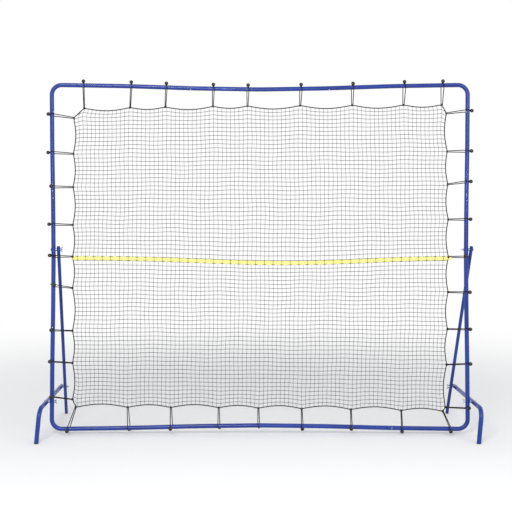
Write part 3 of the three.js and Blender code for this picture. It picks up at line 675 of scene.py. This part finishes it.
# %% Places of the stands
LEG_R, LEG_FOOT_Y, LEG_STEPS = 11.1, 607, 12
BAR_REACH, FOOT_LEAN, END_PAST_BOLT = 230, 20, 20
LEG_SPACER_T, BAR_SPACER_T, WASHER_T, GAP = 7, 5, 2.5, 0.3
REAR_Y = LEG_FOOT_Y * (LEG_BOLT_Z - BAR_Z) / LEG_BOLT_Z
LEG_OFFSET = TUBE_R + GAP + LEG_SPACER_T + GAP + LEG_R
BAR_OFFSET = TUBE_R + GAP + BAR_SPACER_T + GAP + TUBE_R
LEG_TO_BAR = LEG_R + GAP + WASHER_T + GAP + TUBE_R


def stand_places(side):
    """X of the upright at its two bolts, of the leg's top, of the bar, and of the leg's rear bolt."""
    upright_top, upright_low = side * side_x(LEG_BOLT_Z), side * side_x(BAR_Z)
    leg_top, bar = upright_top + LEG_OFFSET, upright_low + side * BAR_OFFSET
    return upright_top, upright_low, leg_top, bar, bar - side * LEG_TO_BAR


def leg_line(leg_top, leg_rear):
    def at(z):
        share = (LEG_BOLT_Z - z) / (LEG_BOLT_Z - BAR_Z)
        return Vector((leg_top + (leg_rear - leg_top) * share, REAR_Y * share, z))
    head = at(LEG_BOLT_Z) + (at(LEG_BOLT_Z) - at(BAR_Z)).normalized() * END_PAST_BOLT
    foot = at(-TUBE_R)
    return [head.lerp(foot, i / LEG_STEPS) for i in range(LEG_STEPS + 1)]


def bar_line(x):
    def leaning(y, z):
        return Vector((x - FOOT_LEAN * (BAR_Z - z) / BAR_Z, y, z))
    level = [Vector((x, y, BAR_Z)) for y in (REAR_Y + END_PAST_BOLT, REAR_Y, 300, 100, 0, -80)]
    bend = [leaning(-BAR_REACH + BEND_R * (1 - math.sin(t)), BAR_Z - BEND_R * (1 - math.cos(t)))
            for t in arc(QUARTER, BEND_STEPS)]
    return [*level, *bend, leaning(-BAR_REACH, 80), leaning(-BAR_REACH, -TUBE_R)]


# %% Legs, foot bars and their plugs
PLUG_RIM, PLUG_DEPTH, PLUG_FIT, PLUG_EASE, PLUG_SIDES = 4, 26, 0.4, 0.9, 40
BLANK_ABOVE, BLANK_BELOW = 60, 10


def cut_level(bm, height, up):
    """Cut away what lies above a height, or below it where up is -1; gives the edges of the cut."""
    return edges_in(bmesh.ops.bisect_plane(
        bm, geom=bm.verts[:] + bm.edges[:] + bm.faces[:], plane_co=(0, 0, height), plane_no=(0, 0, up),
        clear_outer=True)["geom_cut"])


def open_tube(line, r, bores):
    bm = drilled(tube_shell(line, 0, 0, r), bores)
    bmesh.ops.bridge_loops(bm, edges=cut_level(bm, PLUG_RIM + GAP, -1))
    return bm


def foot_plug(line, r):
    """Moulded plug: a rounded rim on the floor and a stem up the tube."""
    foot, way = line[-1], (line[-1] - line[-2]).normalized()
    bm = bmesh.new()
    blank = frames_along([foot - way * BLANK_ABOVE, foot + way * BLANK_BELOW])
    loft(bm, [(matrix, r) for matrix in blank], PLUG_SIDES)
    for height, up in ((PLUG_RIM, 1), (0, -1)):
        bmesh.ops.contextual_create(bm, geom=cut_level(bm, height, up))
    bmesh.ops.recalc_face_normals(bm, faces=bm.faces)
    crown = max(bm.faces, key=lambda face: face.calc_center_median().z)
    bmesh.ops.inset_region(bm, faces=[crown], thickness=WALL + PLUG_FIT)
    risen = verts_in(bmesh.ops.extrude_face_region(bm, geom=[crown])["geom"])
    bmesh.ops.delete(bm, geom=[crown], context="FACES_ONLY")
    bmesh.ops.translate(bm, verts=risen, vec=-way * (PLUG_DEPTH - PLUG_RIM))
    flat = [face for face in bm.faces if face.calc_center_median().z < 0.01]
    rim = [edge for face in flat for edge in face.edges]
    bmesh.ops.bevel(bm, geom=rim, offset=PLUG_EASE, segments=3, profile=0.5, affect="EDGES", material=-1)
    return bm


for side, word in SIDES:
    upright_top, upright_low, leg_top, bar, leg_rear = stand_places(side)
    stand = (
        ("leg", f"leg_{word}", LEG_R, leg_line(leg_top, leg_rear), leg_top, LEG_BOLT_Z, leg_rear),
        ("bar", f"foot_bar_{word}", TUBE_R, bar_line(bar), bar, BAR_Z, bar))
    for part, body, r, line, front_x, front_z, rear_x in stand:
        bores = [bolt_bore(front_x, 0, front_z), bolt_bore(rear_x, REAR_Y, BAR_Z)]
        finished(open_tube(line, r, bores), f"tube_{body}", blue, body, "blue_paint", body)
    for part, body, r, line, *_bolts in stand:
        finished(foot_plug(line, r), f"foot_of_{part}_{word}", plug_black, body, "black_plug",
                 f"plug_{part}_{word}")
print("two legs and two foot bars,", made_triangles, "triangles so far")

# %% [markdown]
# ## Bolts and wing nuts
# The bolts have a low dome for a head, so that nothing outside can catch, and a cut thread at the
# tip. A wing nut is a turned hub with two cast wings: each wing starts as one flat outline, gets its
# corners rounded, is extruded to its thickness and bevelled all round.

# %% Bolts, spacers and washers
SHANK_R, HEAD_R, HEAD_T, NUT_T, TIP_PAST_NUT = 4, 9, 5, 9, 5
THREAD, THREAD_DEPTH, THREADED, STUD_THREADED, RUN_OUT = 1.25, 0.55, 18, 17, 0.2
CREST = (0.45, 0.6)  # shares of the pitch
WASHER_R, WASHER_BORE_R, WASHER_EASE = 9, SHANK_R + 0.35, 0.35


def threaded(start, end):
    """Profile of a thread that ends whole, with the closed tip of the bolt."""
    count = int((end - start) / THREAD)
    start = end - count * THREAD
    profile = []
    for i in range(count):
        foot = start + i * THREAD
        profile += [(SHANK_R - THREAD_DEPTH, foot + 0.1),
                    *[(SHANK_R, foot + THREAD * share) for share in CREST]]
    return profile + [(SHANK_R - THREAD_DEPTH - 0.2, end), (0, end)]


def dome_bolt(at, way, length, has_thread=True):
    dome = [(HEAD_R * math.sin(t), -HEAD_T + (HEAD_T - 1) * (1 - math.cos(t)))
            for t in arc(QUARTER, 9)[1:]]
    profile = [(0, -HEAD_T), *dome, (HEAD_R, -0.3), (HEAD_R - 0.3, 0), (SHANK_R, 0)]
    if has_thread:
        profile += [(SHANK_R, length - THREADED), *threaded(length - THREADED + RUN_OUT, length)]
    else:
        profile += [(SHANK_R, length - 0.6), (SHANK_R - 0.6, length), (0, length)]
    return turned(profile, facing(at, way))


def stud(at, way, length):
    run_out = length - STUD_THREADED
    return turned([(0, 0), (SHANK_R - 0.5, 0), (SHANK_R, 0.5), (SHANK_R, run_out),
                   *threaded(run_out + RUN_OUT, length)], facing(at, way))


def washer(x, y, z, way, thickness):
    """Washer or spacer that starts at a point and lies along X, to the right or to the left."""
    return turned([(WASHER_BORE_R, 0), (WASHER_R - WASHER_EASE, 0), (WASHER_R, WASHER_EASE),
                   (WASHER_R, thickness - WASHER_EASE), (WASHER_R - WASHER_EASE, thickness),
                   (WASHER_BORE_R, thickness)], facing(Vector((x, y, z)), (way, 0, 0)), steps=36, ring=True)


# %% Wing nuts
WING_REACH, WING_TOP, WING_T, WING_EASE = 17, 17.5, 3, 1.9
WING_OUTLINE = [(0.28, 0.1), (0.54, 0.14), (1, 0.56), (1, 0.86), (0.86, 1), (0.64, 0.94), (0.37, 0.47),
                (0.28, 0.47)]
WING_TURNS = {"leg_left": 4, "leg_right": 84, "bar_left": 38, "bar_right": -32, "rear_left": 76,
              "rear_right": 12}
HUB = [(SHANK_R + 0.1, 0.3), (SHANK_R + 0.6, 0), (7.6, 0), (8, 0.4), (8, 1.4), (7.2, 2.2), (6.6, 5),
       (6.4, 8.4), (5.9, 9), (SHANK_R + 0.6, 9), (SHANK_R + 0.1, 8.6)]


def wing(half):
    bm = bmesh.new()
    corners = [Vector((r * WING_REACH, 0, h * WING_TOP)) for r, h in WING_OUTLINE]
    bm.faces.new([bm.verts.new((p.x, -WING_T / 2, p.z)) for p in eased(corners, WING_EASE, closed=True)])
    grown = bmesh.ops.extrude_face_region(bm, geom=bm.faces[:])["geom"]
    bmesh.ops.translate(bm, verts=verts_in(grown), vec=(0, WING_T, 0))
    bmesh.ops.recalc_face_normals(bm, faces=bm.faces)
    rims = [edge for edge in bm.edges if edge.calc_face_angle(0) > math.radians(60)]
    bmesh.ops.bevel(bm, geom=rims, offset=0.6, segments=3, profile=0.5, affect="EDGES", material=-1,
                    clamp_overlap=True)
    bmesh.ops.rotate(bm, verts=bm.verts, cent=(0, 0, 0), matrix=Matrix.Rotation(math.pi * half, 3, "Z"))
    return bm


def wing_nut(at, way, degrees):
    """Hub and wings in the nut's own axes: Z along the bolt, X along the wings."""
    hub = turned(HUB, Matrix(), steps=32, ring=True)
    for half in (0, 1):
        poured(hub, wing(half))
    x, z = Matrix.Rotation(math.radians(degrees), 3, "X") @ Vector((0, 0, 1)), Vector(way)
    turn = Matrix((x, z.cross(x), z)).transposed().to_4x4()
    bmesh.ops.transform(hub, matrix=Matrix.Translation(at) @ turn, verts=hub.verts)
    return hub


# %% Put the hardware in its places
def stack(y, z, head_x, nut_x):
    """Way of a bolt along X, the places under its head and under its nut, and its length."""
    way = 1 if nut_x > head_x else -1
    head, nut = Vector((head_x - way * GAP, y, z)), Vector((nut_x + way * GAP, y, z))
    return Vector((way, 0, 0)), head, nut, (nut - head).length + NUT_T + TIP_PAST_NUT


def plated(bm, name, body, node_name):
    finished(bm, name, zinc, body, "zinc_plate", node_name)


for side, word in SIDES:
    upright_top, upright_low, leg_top, bar, leg_rear = stand_places(side)
    # the leg's bolt always has its nut inside, and the leg is inside the left upright only
    leg_ends = (upright_top - TUBE_R, leg_top + LEG_R)[::-side]
    stacks = {"leg": stack(0, LEG_BOLT_Z, *leg_ends),
              "bar": stack(0, BAR_Z, bar + side * TUBE_R, upright_low - side * TUBE_R),
              "rear": stack(REAR_Y, BAR_Z, bar + side * TUBE_R, leg_rear - side * LEG_R)}
    for place in ("leg", "bar"):
        way, head, nut, length = stacks[place]
        plated(dome_bolt(head, way, length), f"dome_bolt_{place}_{word}", "frame", f"bolt_{place}_{word}")
    way, head, nut, length = stacks["rear"]
    plated(dome_bolt(head, way, 2 * TUBE_R + GAP - 0.8, has_thread=False), f"dome_bolt_rear_{word}",
           f"foot_bar_{word}", f"bolt_rear_head_{word}")
    start = Vector((leg_rear + side * (LEG_R + GAP + WASHER_T), REAR_Y, BAR_Z))
    end = nut + way * (NUT_T + TIP_PAST_NUT)
    plated(stud(start, way, (end - start).length), f"stud_rear_{word}", f"leg_{word}",
           f"bolt_rear_stud_{word}")
    plated(washer(upright_top + TUBE_R + GAP, 0, LEG_BOLT_Z, 1, LEG_SPACER_T),
           f"collar_leg_{word}", "frame", f"spacer_leg_{word}")
    plated(washer(upright_low + side * (TUBE_R + GAP), 0, BAR_Z, side, BAR_SPACER_T),
           f"collar_bar_{word}", "frame", f"spacer_bar_{word}")
    plated(washer(leg_rear + side * (LEG_R + GAP), REAR_Y, BAR_Z, side, WASHER_T),
           f"flat_washer_{word}", f"leg_{word}", f"washer_rear_{word}")
    for place, (way, head, nut, length) in stacks.items():
        name = f"wing_nut_{place}_{word}"
        plated(wing_nut(nut, way, WING_TURNS[f"{place}_{word}"]), f"winged_{name}", name, name)
print("bolts and wing nuts,", made_triangles, "triangles so far")

# %% [markdown]
# ## Border rope
# The rope runs round the net from knot to knot and is drawn inwards between them, because the mesh
# pulls on it. Its path repeats the measured one with more points.

# %% Places of the net's edges
ROPE_R, SCALLOP, SCALLOP_SPAN, ROPE_STEPS, ROPE_GAP = 3.3, 17.5, 280, 150, 0.4
NET_CORNERS = {"topLeft": (-1214, 2129), "topRight": (1217, 2153),
               "baseLeft": (-1222, 178), "baseRight": (1211, 151)}
KNOT_BOWS = {"top": 5, "base": -8, "left": 4, "right": 17}
# place on the tube, place on the rope, and the turn from outwards at which the ball sits
TIES = {
    "top": [(-1151, -1146, 14), (-839, -846, 8), (-610, -616, 20), (-303, -306, 5), (-77, -80, 16),
            (269, 264, 10), (606, 604, 24), (944, 938, 6), (1193, 1188, 18)],
    "base": [(-1250, -1202, 68), (-855, -862, -61), (-577, -580, 73), (-267, -268, -58), (-7, -9, -64),
             (277, 273.5, -32), (599, 595, 75), (929, 923.5, -24), (1246, 1196, 63)],
    "left": [(2088, 2067, 42), (1841, 1833, 4), (1617, 1615, 75), (1372, 1369, 23), (1164, 1162, 37),
             (974, 957, 112), (680, 678, 77), (476, 468, 64), (246, 230, 90)],
    "right": [(2114, 2097, 6), (1850, 1848, 20), (1650, 1634, 30), (1405, 1404, 15), (1160, 1160, 112),
              (928, 930, 44), (687, 689, 44), (461, 457, 54), (172, 178, 84)],
}
# first and last corner, axis, outwards, along the rope, and the tube as a function of a place
LEFT, RIGHT, UP, DOWN = [Vector(way) for way in ((-1, 0, 0), (1, 0, 0), (0, 0, 1), (0, 0, -1))]
EDGES = {
    "top": ("topLeft", "topRight", 0, UP, RIGHT, top_at),
    "base": ("baseLeft", "baseRight", 0, DOWN, LEFT, base_at),
    "left": ("topLeft", "baseLeft", 1, LEFT, UP, upright_line(-1)),
    "right": ("topRight", "baseRight", 1, RIGHT, UP, upright_line(1)),
}


def knot_at(key, place):
    start, end, axis, out = EDGES[key][:4]
    a, b = NET_CORNERS[start], NET_CORNERS[end]
    t = (place - a[axis]) / (b[axis] - a[axis])
    point = Vector((a[0] + (b[0] - a[0]) * t, 0, a[1] + (b[1] - a[1]) * t))
    return point + out * (KNOT_BOWS[key] * math.sin(math.pi * min(max(t, 0), 1)))


def cut_corner(name):
    """The rope runs straight from the last knot of one edge to the first of the next."""
    beside = [knot_at(key, TIES[key][0 if edge[0] == name else -1][1])
              for key, edge in EDGES.items() if name in edge[:2]]
    return beside[0].lerp(beside[1], 0.5)


CUT_CORNERS = {name: cut_corner(name) for name in NET_CORNERS}


def rope_at(key, place):
    """Point of the rope at a place along its edge, drawn inwards between the knots."""
    start, end, axis, out = EDGES[key][:4]
    marks = [CUT_CORNERS[start], *[knot_at(key, tie[1]) for tie in TIES[key]], CUT_CORNERS[end]]
    spans = list(zip(marks, marks[1:]))
    for i, (a, b) in enumerate(spans):
        length = b[2 * axis] - a[2 * axis]
        share = (place - a[2 * axis]) / length
        if share <= 1:
            break
    if i in (0, len(spans) - 1):
        return a.lerp(b, share)
    depth = SCALLOP * abs(length) / SCALLOP_SPAN
    return knot_at(key, place) - out * (depth * math.sin(math.pi * share))


# %% Border rope
for key, (start, end, axis, *_) in EDGES.items():
    a, b = CUT_CORNERS[start][2 * axis], CUT_CORNERS[end][2 * axis]
    points = [rope_at(key, a + step) for step in arc(b - a, ROPE_STEPS)]
    if axis:
        points[0] += (points[1] - points[0]).normalized() * ROPE_GAP
        points[-1] += (points[-2] - points[-1]).normalized() * ROPE_GAP
    bm = bmesh.new()
    loft(bm, [(matrix, ROPE_R) for matrix in frames_along(points)], 10)
    finished(bm, f"border_rope_{key}", rope_black, "frame", "elastic_cord", f"ties_{key}")
print("four runs of rope,", made_triangles, "triangles so far")

# %% [markdown]
# ## Ball cords
# A ball cord is a loop of elastic whose two ends are knotted inside a ball. It hitches round the
# rope, passes round the tube and hooks over its ball. Each one here is a single tube: out from the
# rope, round the steel and back, with a turn round the rope at either end. Beside the left leg two
# cords go all the way round the upright and turn back in front of it, clear of the folding leg.

# %% Ball cords
CORD_R, CORD_SPREAD, BALL_R, CORD_EASE, WRAP_STEPS = 2.9, 6.5, 12.5, 6, 30
WRAP_R, BALL_OUT = TUBE_R + 0.1 + CORD_R, TUBE_R + 0.7 + BALL_R
HITCHED, HITCHED_TURN, HITCHED_SHIFTS, HOOK_R = (1164, 974), 352, (8, 1.7), 4
HITCH_R, HITCH_TURN, HITCH_STEPS, HITCH_DRIFT = ROPE_R + CORD_R * 0.8, 300, 14, 0.25
TOWARDS_PLAYER = Vector((0, -1, 0))


def cord_points(key, tube_place, rope_place, ball_turn):
    """Path of a cord, the place of its ball and the ball's axis."""
    out, run, tube = EDGES[key][3:]
    centre, knot = tube(tube_place), knot_at(key, rope_place)
    apart = abs((knot - centre).dot(out))
    leave = 90 + math.degrees(math.asin(WRAP_R / apart))
    hitched = tube_place in HITCHED
    wound = HITCHED_TURN if hitched else 2 * leave
    shift_first, shift_last = HITCHED_SHIFTS if hitched else (CORD_SPREAD, -CORD_SPREAD)

    def circled(middle, turn, r, shift):
        t = math.radians(turn)
        return middle + out * (r * math.cos(t)) + TOWARDS_PLAYER * (r * math.sin(t)) + run * shift

    def shift_at(turn):
        return shift_first + (shift_last - shift_first) * (leave - turn) / wound

    wrap = [circled(centre, leave - turn, WRAP_R, shift_at(leave - turn)) for turn in arc(wound, WRAP_STEPS)]
    if hitched:
        here, way = wrap[-1], (wrap[-1] - wrap[-2]).normalized()
        wrap += [here + way * (HOOK_R * math.sin(t)) - run * (HOOK_R * (1 - math.cos(t)))
                 for t in arc(math.pi, 9)[1:]]

    def hitch(shift, turn_from):
        """Turn round the rope, from the side where the strand arrives."""
        return [circled(knot, turn_from + HITCH_TURN * i / HITCH_STEPS, HITCH_R,
                        shift * (1 + HITCH_DRIFT * i / HITCH_STEPS)) for i in range(HITCH_STEPS + 1)]

    first, last = hitch(CORD_R + GAP, 90), hitch(-CORD_R - GAP, -90)
    seat = min(max(shift_at(ball_turn), -CORD_SPREAD), CORD_SPREAD)
    ball, core = [circled(centre, ball_turn, r, seat) for r in (BALL_OUT, 0)]
    return eased([*first[::-1], *wrap, *last], CORD_EASE), ball, ball - core


def cord_ball(at, out):
    """Moulded ball: a parting line round its waist and a bore for the knot."""
    mouth = [(3.4, BALL_R - 3.4), (3.4, BALL_R - 0.9), (4.3, BALL_R - 0.75)]
    shell = []
    for i in range(4, 22):
        t, r = math.pi * (0.5 - i / 24), BALL_R - (0.25 if i == 12 else 0)
        shell.append((r * math.cos(t), r * math.sin(t)))
    profile = [*mouth, *shell, *[(r, -h) for r, h in mouth[::-1]]]
    return turned(profile, facing(at, out), steps=24, ring=True)


for key in EDGES:
    cords, balls = bmesh.new(), bmesh.new()
    for tie in TIES[key]:
        points, ball, out = cord_points(key, *tie)
        loft(cords, [(matrix, CORD_R) for matrix in frames_along(points)], 8)
        poured(balls, cord_ball(ball, out))
    finished(cords, f"elastic_cords_{key}", elastic_black, "frame", "elastic_cord")
    finished(balls, f"cord_balls_{key}", ball_black, "frame", "elastic_cord")
print("36 ball cords,", made_triangles, "triangles so far")

# %% [markdown]
# ## Net
# A machine-made net is a grid of twine with a small knot at every crossing. One grid is made flat,
# carried onto the net's outline, and the wireframe operator turns its edges into strands. The knots
# are one small shape that two Array modifiers copy, carried over by the same rule, so they stay on
# the crossings.

# %% Shape of the net
COLUMNS, ROWS, MESH = 88, 72, 27.4
NET_WIDE, NET_TALL, FADE, FADE_IN, HOLD = 2430, 1975, 110, 0.125, 220
TAPE_ROW, TAPE_ENDS, TAPE_DIP, TAPE_LEAN = 35, (1152, 1150), 31, 1.2
BILLOW, BILLOW_X, BILLOW_Z = 1.6, 210, 170
# waves in the mesh: height of each, and the lengths that it takes across and up
WAVES_X, WAVES_Z = [(1.8, -190, 88), (1.2, 71, 37)], [(2.2, 97, 160), (1.4, 41, -83)]


def tape_height(u):
    """Height of the tape, which sags a little to the right of the middle."""
    hump = math.sin(math.pi * u ** TAPE_LEAN) ** 2
    return TAPE_ENDS[0] + (TAPE_ENDS[1] - TAPE_ENDS[0]) * u - TAPE_DIP * hump


def near(distance):
    return math.exp(-distance / FADE)


def edge_point(key, t):
    """Point of an edge's straight line of knots, and how far the rope lies from it there."""
    start, end, axis = EDGES[key][:3]
    a, b = NET_CORNERS[start][axis], NET_CORNERS[end][axis]
    place, length = a + (b - a) * t, abs(b - a)
    moved = place + (CUT_CORNERS[start][2 * axis] - a) * near(t * length) + (
        CUT_CORNERS[end][2 * axis] - b) * near((1 - t) * length)
    return knot_at(key, place), rope_at(key, moved) - knot_at(key, place)


def net_point(u, v):
    """Point of the net, u from left to right and v from the base to the top."""
    (top_p, top_d), (base_p, base_d) = edge_point("top", u), edge_point("base", u)
    (left_p, left_d), (right_p, right_d) = edge_point("left", 1 - v), edge_point("right", 1 - v)
    whole = [Vector((x, 0, z)) for x, z in NET_CORNERS.values()]
    short = [cut - corner_at for cut, corner_at in zip(CUT_CORNERS.values(), whole)]
    shares = [(1 - u) * v, u * v, (1 - u) * (1 - v), u * (1 - v)]
    flat = base_p * (1 - v) + top_p * v + left_p * (1 - u) + right_p * u
    flat -= sum((corner_at * share for corner_at, share in zip(whole, shares)), Vector())
    wide, tall = NET_WIDE * u, NET_TALL * v
    west, east, south, north = near(wide), near(NET_WIDE - wide), near(tall), near(NET_TALL - tall)
    flat += base_d * south + top_d * north + left_d * west + right_d * east
    corners_near = [west * north, east * north, west * south, east * south]
    flat -= sum((gone * share for gone, share in zip(short, corners_near)), Vector())
    inside = min(1, min(u, 1 - u) / FADE_IN) * min(1, min(v, 1 - v) / FADE_IN)
    by_x, by_z = [sum(size * math.sin(wide / across + tall / up) for size, across, up in waves)
                  for waves in (WAVES_X, WAVES_Z)]
    flat.x += inside * by_x
    flat.z += inside * by_z
    flat.y = inside * BILLOW * math.sin(wide / BILLOW_X) * math.sin(tall / BILLOW_Z)
    return flat


lattice = np.array([[net_point(i / COLUMNS, j / ROWS)[:] for i in range(COLUMNS + 1)]
                    for j in range(ROWS + 1)])

# the tape is threaded between two rows and pulls them along with it
tape_line = np.array([tape_height(i / COLUMNS) for i in range(COLUMNS + 1)])
lift = tape_line - lattice[TAPE_ROW:TAPE_ROW + 2, :, 2].mean(axis=0)
rows_away = np.abs(np.arange(ROWS + 1) - TAPE_ROW - 0.5)
lattice[:, :, 2] += lift * np.exp(-rows_away * MESH / HOLD)[:, None]
print("net spans", round(lattice[:, :, 0].min()), "to", round(lattice[:, :, 0].max()),
      "mm; tape lifts it by", round(lift.min(), 1), "to", round(lift.max(), 1), "mm")


def onto_net(bm):
    """Carry a mesh drawn on the unit grid, X by columns and Y by rows, onto the net."""
    for vert in bm.verts:
        i, j = min(max(int(vert.co.x), 0), COLUMNS - 1), min(max(int(vert.co.y), 0), ROWS - 1)
        s, t = vert.co.x - i, vert.co.y - j
        at = (lattice[j, i] * (1 - s) * (1 - t) + lattice[j, i + 1] * s * (1 - t)
              + lattice[j + 1, i] * (1 - s) * t + lattice[j + 1, i + 1] * s * t)
        vert.co = Vector((at[0], at[1] - vert.co.z, at[2]))


# %% Strands and knots
TWINE_T, KNOT_R, KNOT_DEPTH, KNOT_PITCH = 2.8, 2.8, 1.8, 27.3

strands = bmesh.new()
bmesh.ops.create_grid(strands, x_segments=COLUMNS, y_segments=ROWS, size=0.5)
bmesh.ops.translate(strands, verts=strands.verts, vec=(0.5, 0.5, 0))
bmesh.ops.scale(strands, verts=strands.verts, vec=(COLUMNS, ROWS, 1))
onto_net(strands)
bmesh.ops.wireframe(strands, faces=strands.faces, thickness=TWINE_T, use_replace=True, use_boundary=True)
finished(strands, "net_strands", net_black, "frame", "net_cord", "net", sharp=60)

knot = bmesh.new()
bmesh.ops.create_icosphere(knot, subdivisions=1, radius=1)
bmesh.ops.scale(knot, verts=knot.verts, vec=(KNOT_R / KNOT_PITCH, KNOT_R / KNOT_PITCH, KNOT_DEPTH))
holder = placed("loose", mesh_of(knot))
for step, count in (((1, 0, 0), COLUMNS + 1), ((0, 1, 0), ROWS + 1)):
    copies = holder.modifiers.new("copies", "ARRAY")
    copies.count, copies.constant_offset_displace = count, step
    copies.use_relative_offset, copies.use_constant_offset = False, True
knots = evaluated(holder)
onto_net(knots)
finished(knots, "net_knots", net_black, "frame", "net_cord", sharp=180)
print("net of", COLUMNS, "by", ROWS, "meshes,", made_triangles, "triangles so far")

# %% [markdown]
# ## Tape
# A flat pale yellow tape marks the height of a court net. It is woven through the meshes between two
# rows, over one strand and under the next, so a dark strand crosses it at every second mesh. Its right
# end is folded up into a small point behind the rope. A grid stretched to the tape's length and moved
# to its path gives the ribbon, and Solidify its thickness.

# %% Finish of the tape
tape_cloth = Finish("woven_tape")
streaks = tape_cloth.noise(60, 2, (22, 22, 1))
weave = tape_cloth.node("TexWave", {"Vector": tape_cloth.place, "Scale": 260}).outputs["Fac"]
cloth = tape_cloth.math("MULTIPLY", weave, tape_cloth.noise(700, 3))
halves = [tape_cloth.math("MULTIPLY", pattern, 0.5) for pattern in (cloth, streaks)]
# Half the colour comes from the weave's relief: paler on the raised threads and darker between them, which
# is painted shade; the streaks are random tone.
tape_cloth.set(Base_Color=tape_cloth.ramp(
    tape_cloth.math("ADD", *halves), (0.2, (214, 204, 112)), (0.6, (232, 226, 148))),
    Roughness=tape_cloth.ramp(cloth, (0.1, 0.7), (0.6, 0.85)), Sheen_Weight=0.3)
tape_cloth.bump(cloth, 0.3, 0.0003)

# %% Tape
TAPE_WIDTH, TAPE_START, TAPE_END, TAPE_THICK, TAPE_STEPS = 27, -0.005, 1.011, 0.0007, COLUMNS * 6
WEAVE_DEPTH, FOLD_SPREAD, FOLD_TAPER, FOLD_RISE = 2.2, 0.35, 0.8, 5
middle_line = lattice[TAPE_ROW:TAPE_ROW + 2].mean(axis=0)


def tape_at(t, across):
    """Point of the tape; past the rope it spreads, narrows to a point and rises."""
    u = TAPE_START + (TAPE_END - TAPE_START) * t
    held = min(max(u, 0), 1)
    x, y = (float(np.interp(held * COLUMNS, range(COLUMNS + 1), middle_line[:, axis])) for axis in (0, 1))
    x += (u - held) * COLUMNS * MESH
    past = (u - held) / (TAPE_END - 1) if u > 1 else 0
    spread, taper = math.sin(math.pi * min(past * 2, 1)), max(past * 2 - 1, 0)
    width = TAPE_WIDTH * (1 + FOLD_SPREAD * spread) * (1 - FOLD_TAPER * taper)
    over = WEAVE_DEPTH * math.cos(math.pi * held * COLUMNS)
    return Vector((x, y - over, tape_height(held) + FOLD_RISE * math.sin(math.pi * past) + across * width))


ribbon = bmesh.new()
bmesh.ops.create_grid(ribbon, x_segments=TAPE_STEPS, y_segments=4, size=0.5)
for vert in ribbon.verts:
    vert.co = tape_at(vert.co.x + 0.5, vert.co.y)
tape = finished(ribbon, "woven_tape", tape_cloth, "frame", "net_tape", "tape", sharp=180)
thickness = tape.modifiers.new("thickness", "SOLIDIFY")
thickness.thickness, thickness.offset = TAPE_THICK, 0
path = [tape_at(i / TAPE_STEPS, 0) for i in range(TAPE_STEPS + 1)]

# %% Size of the dressed model
print("dressed with", made_triangles, "triangles")
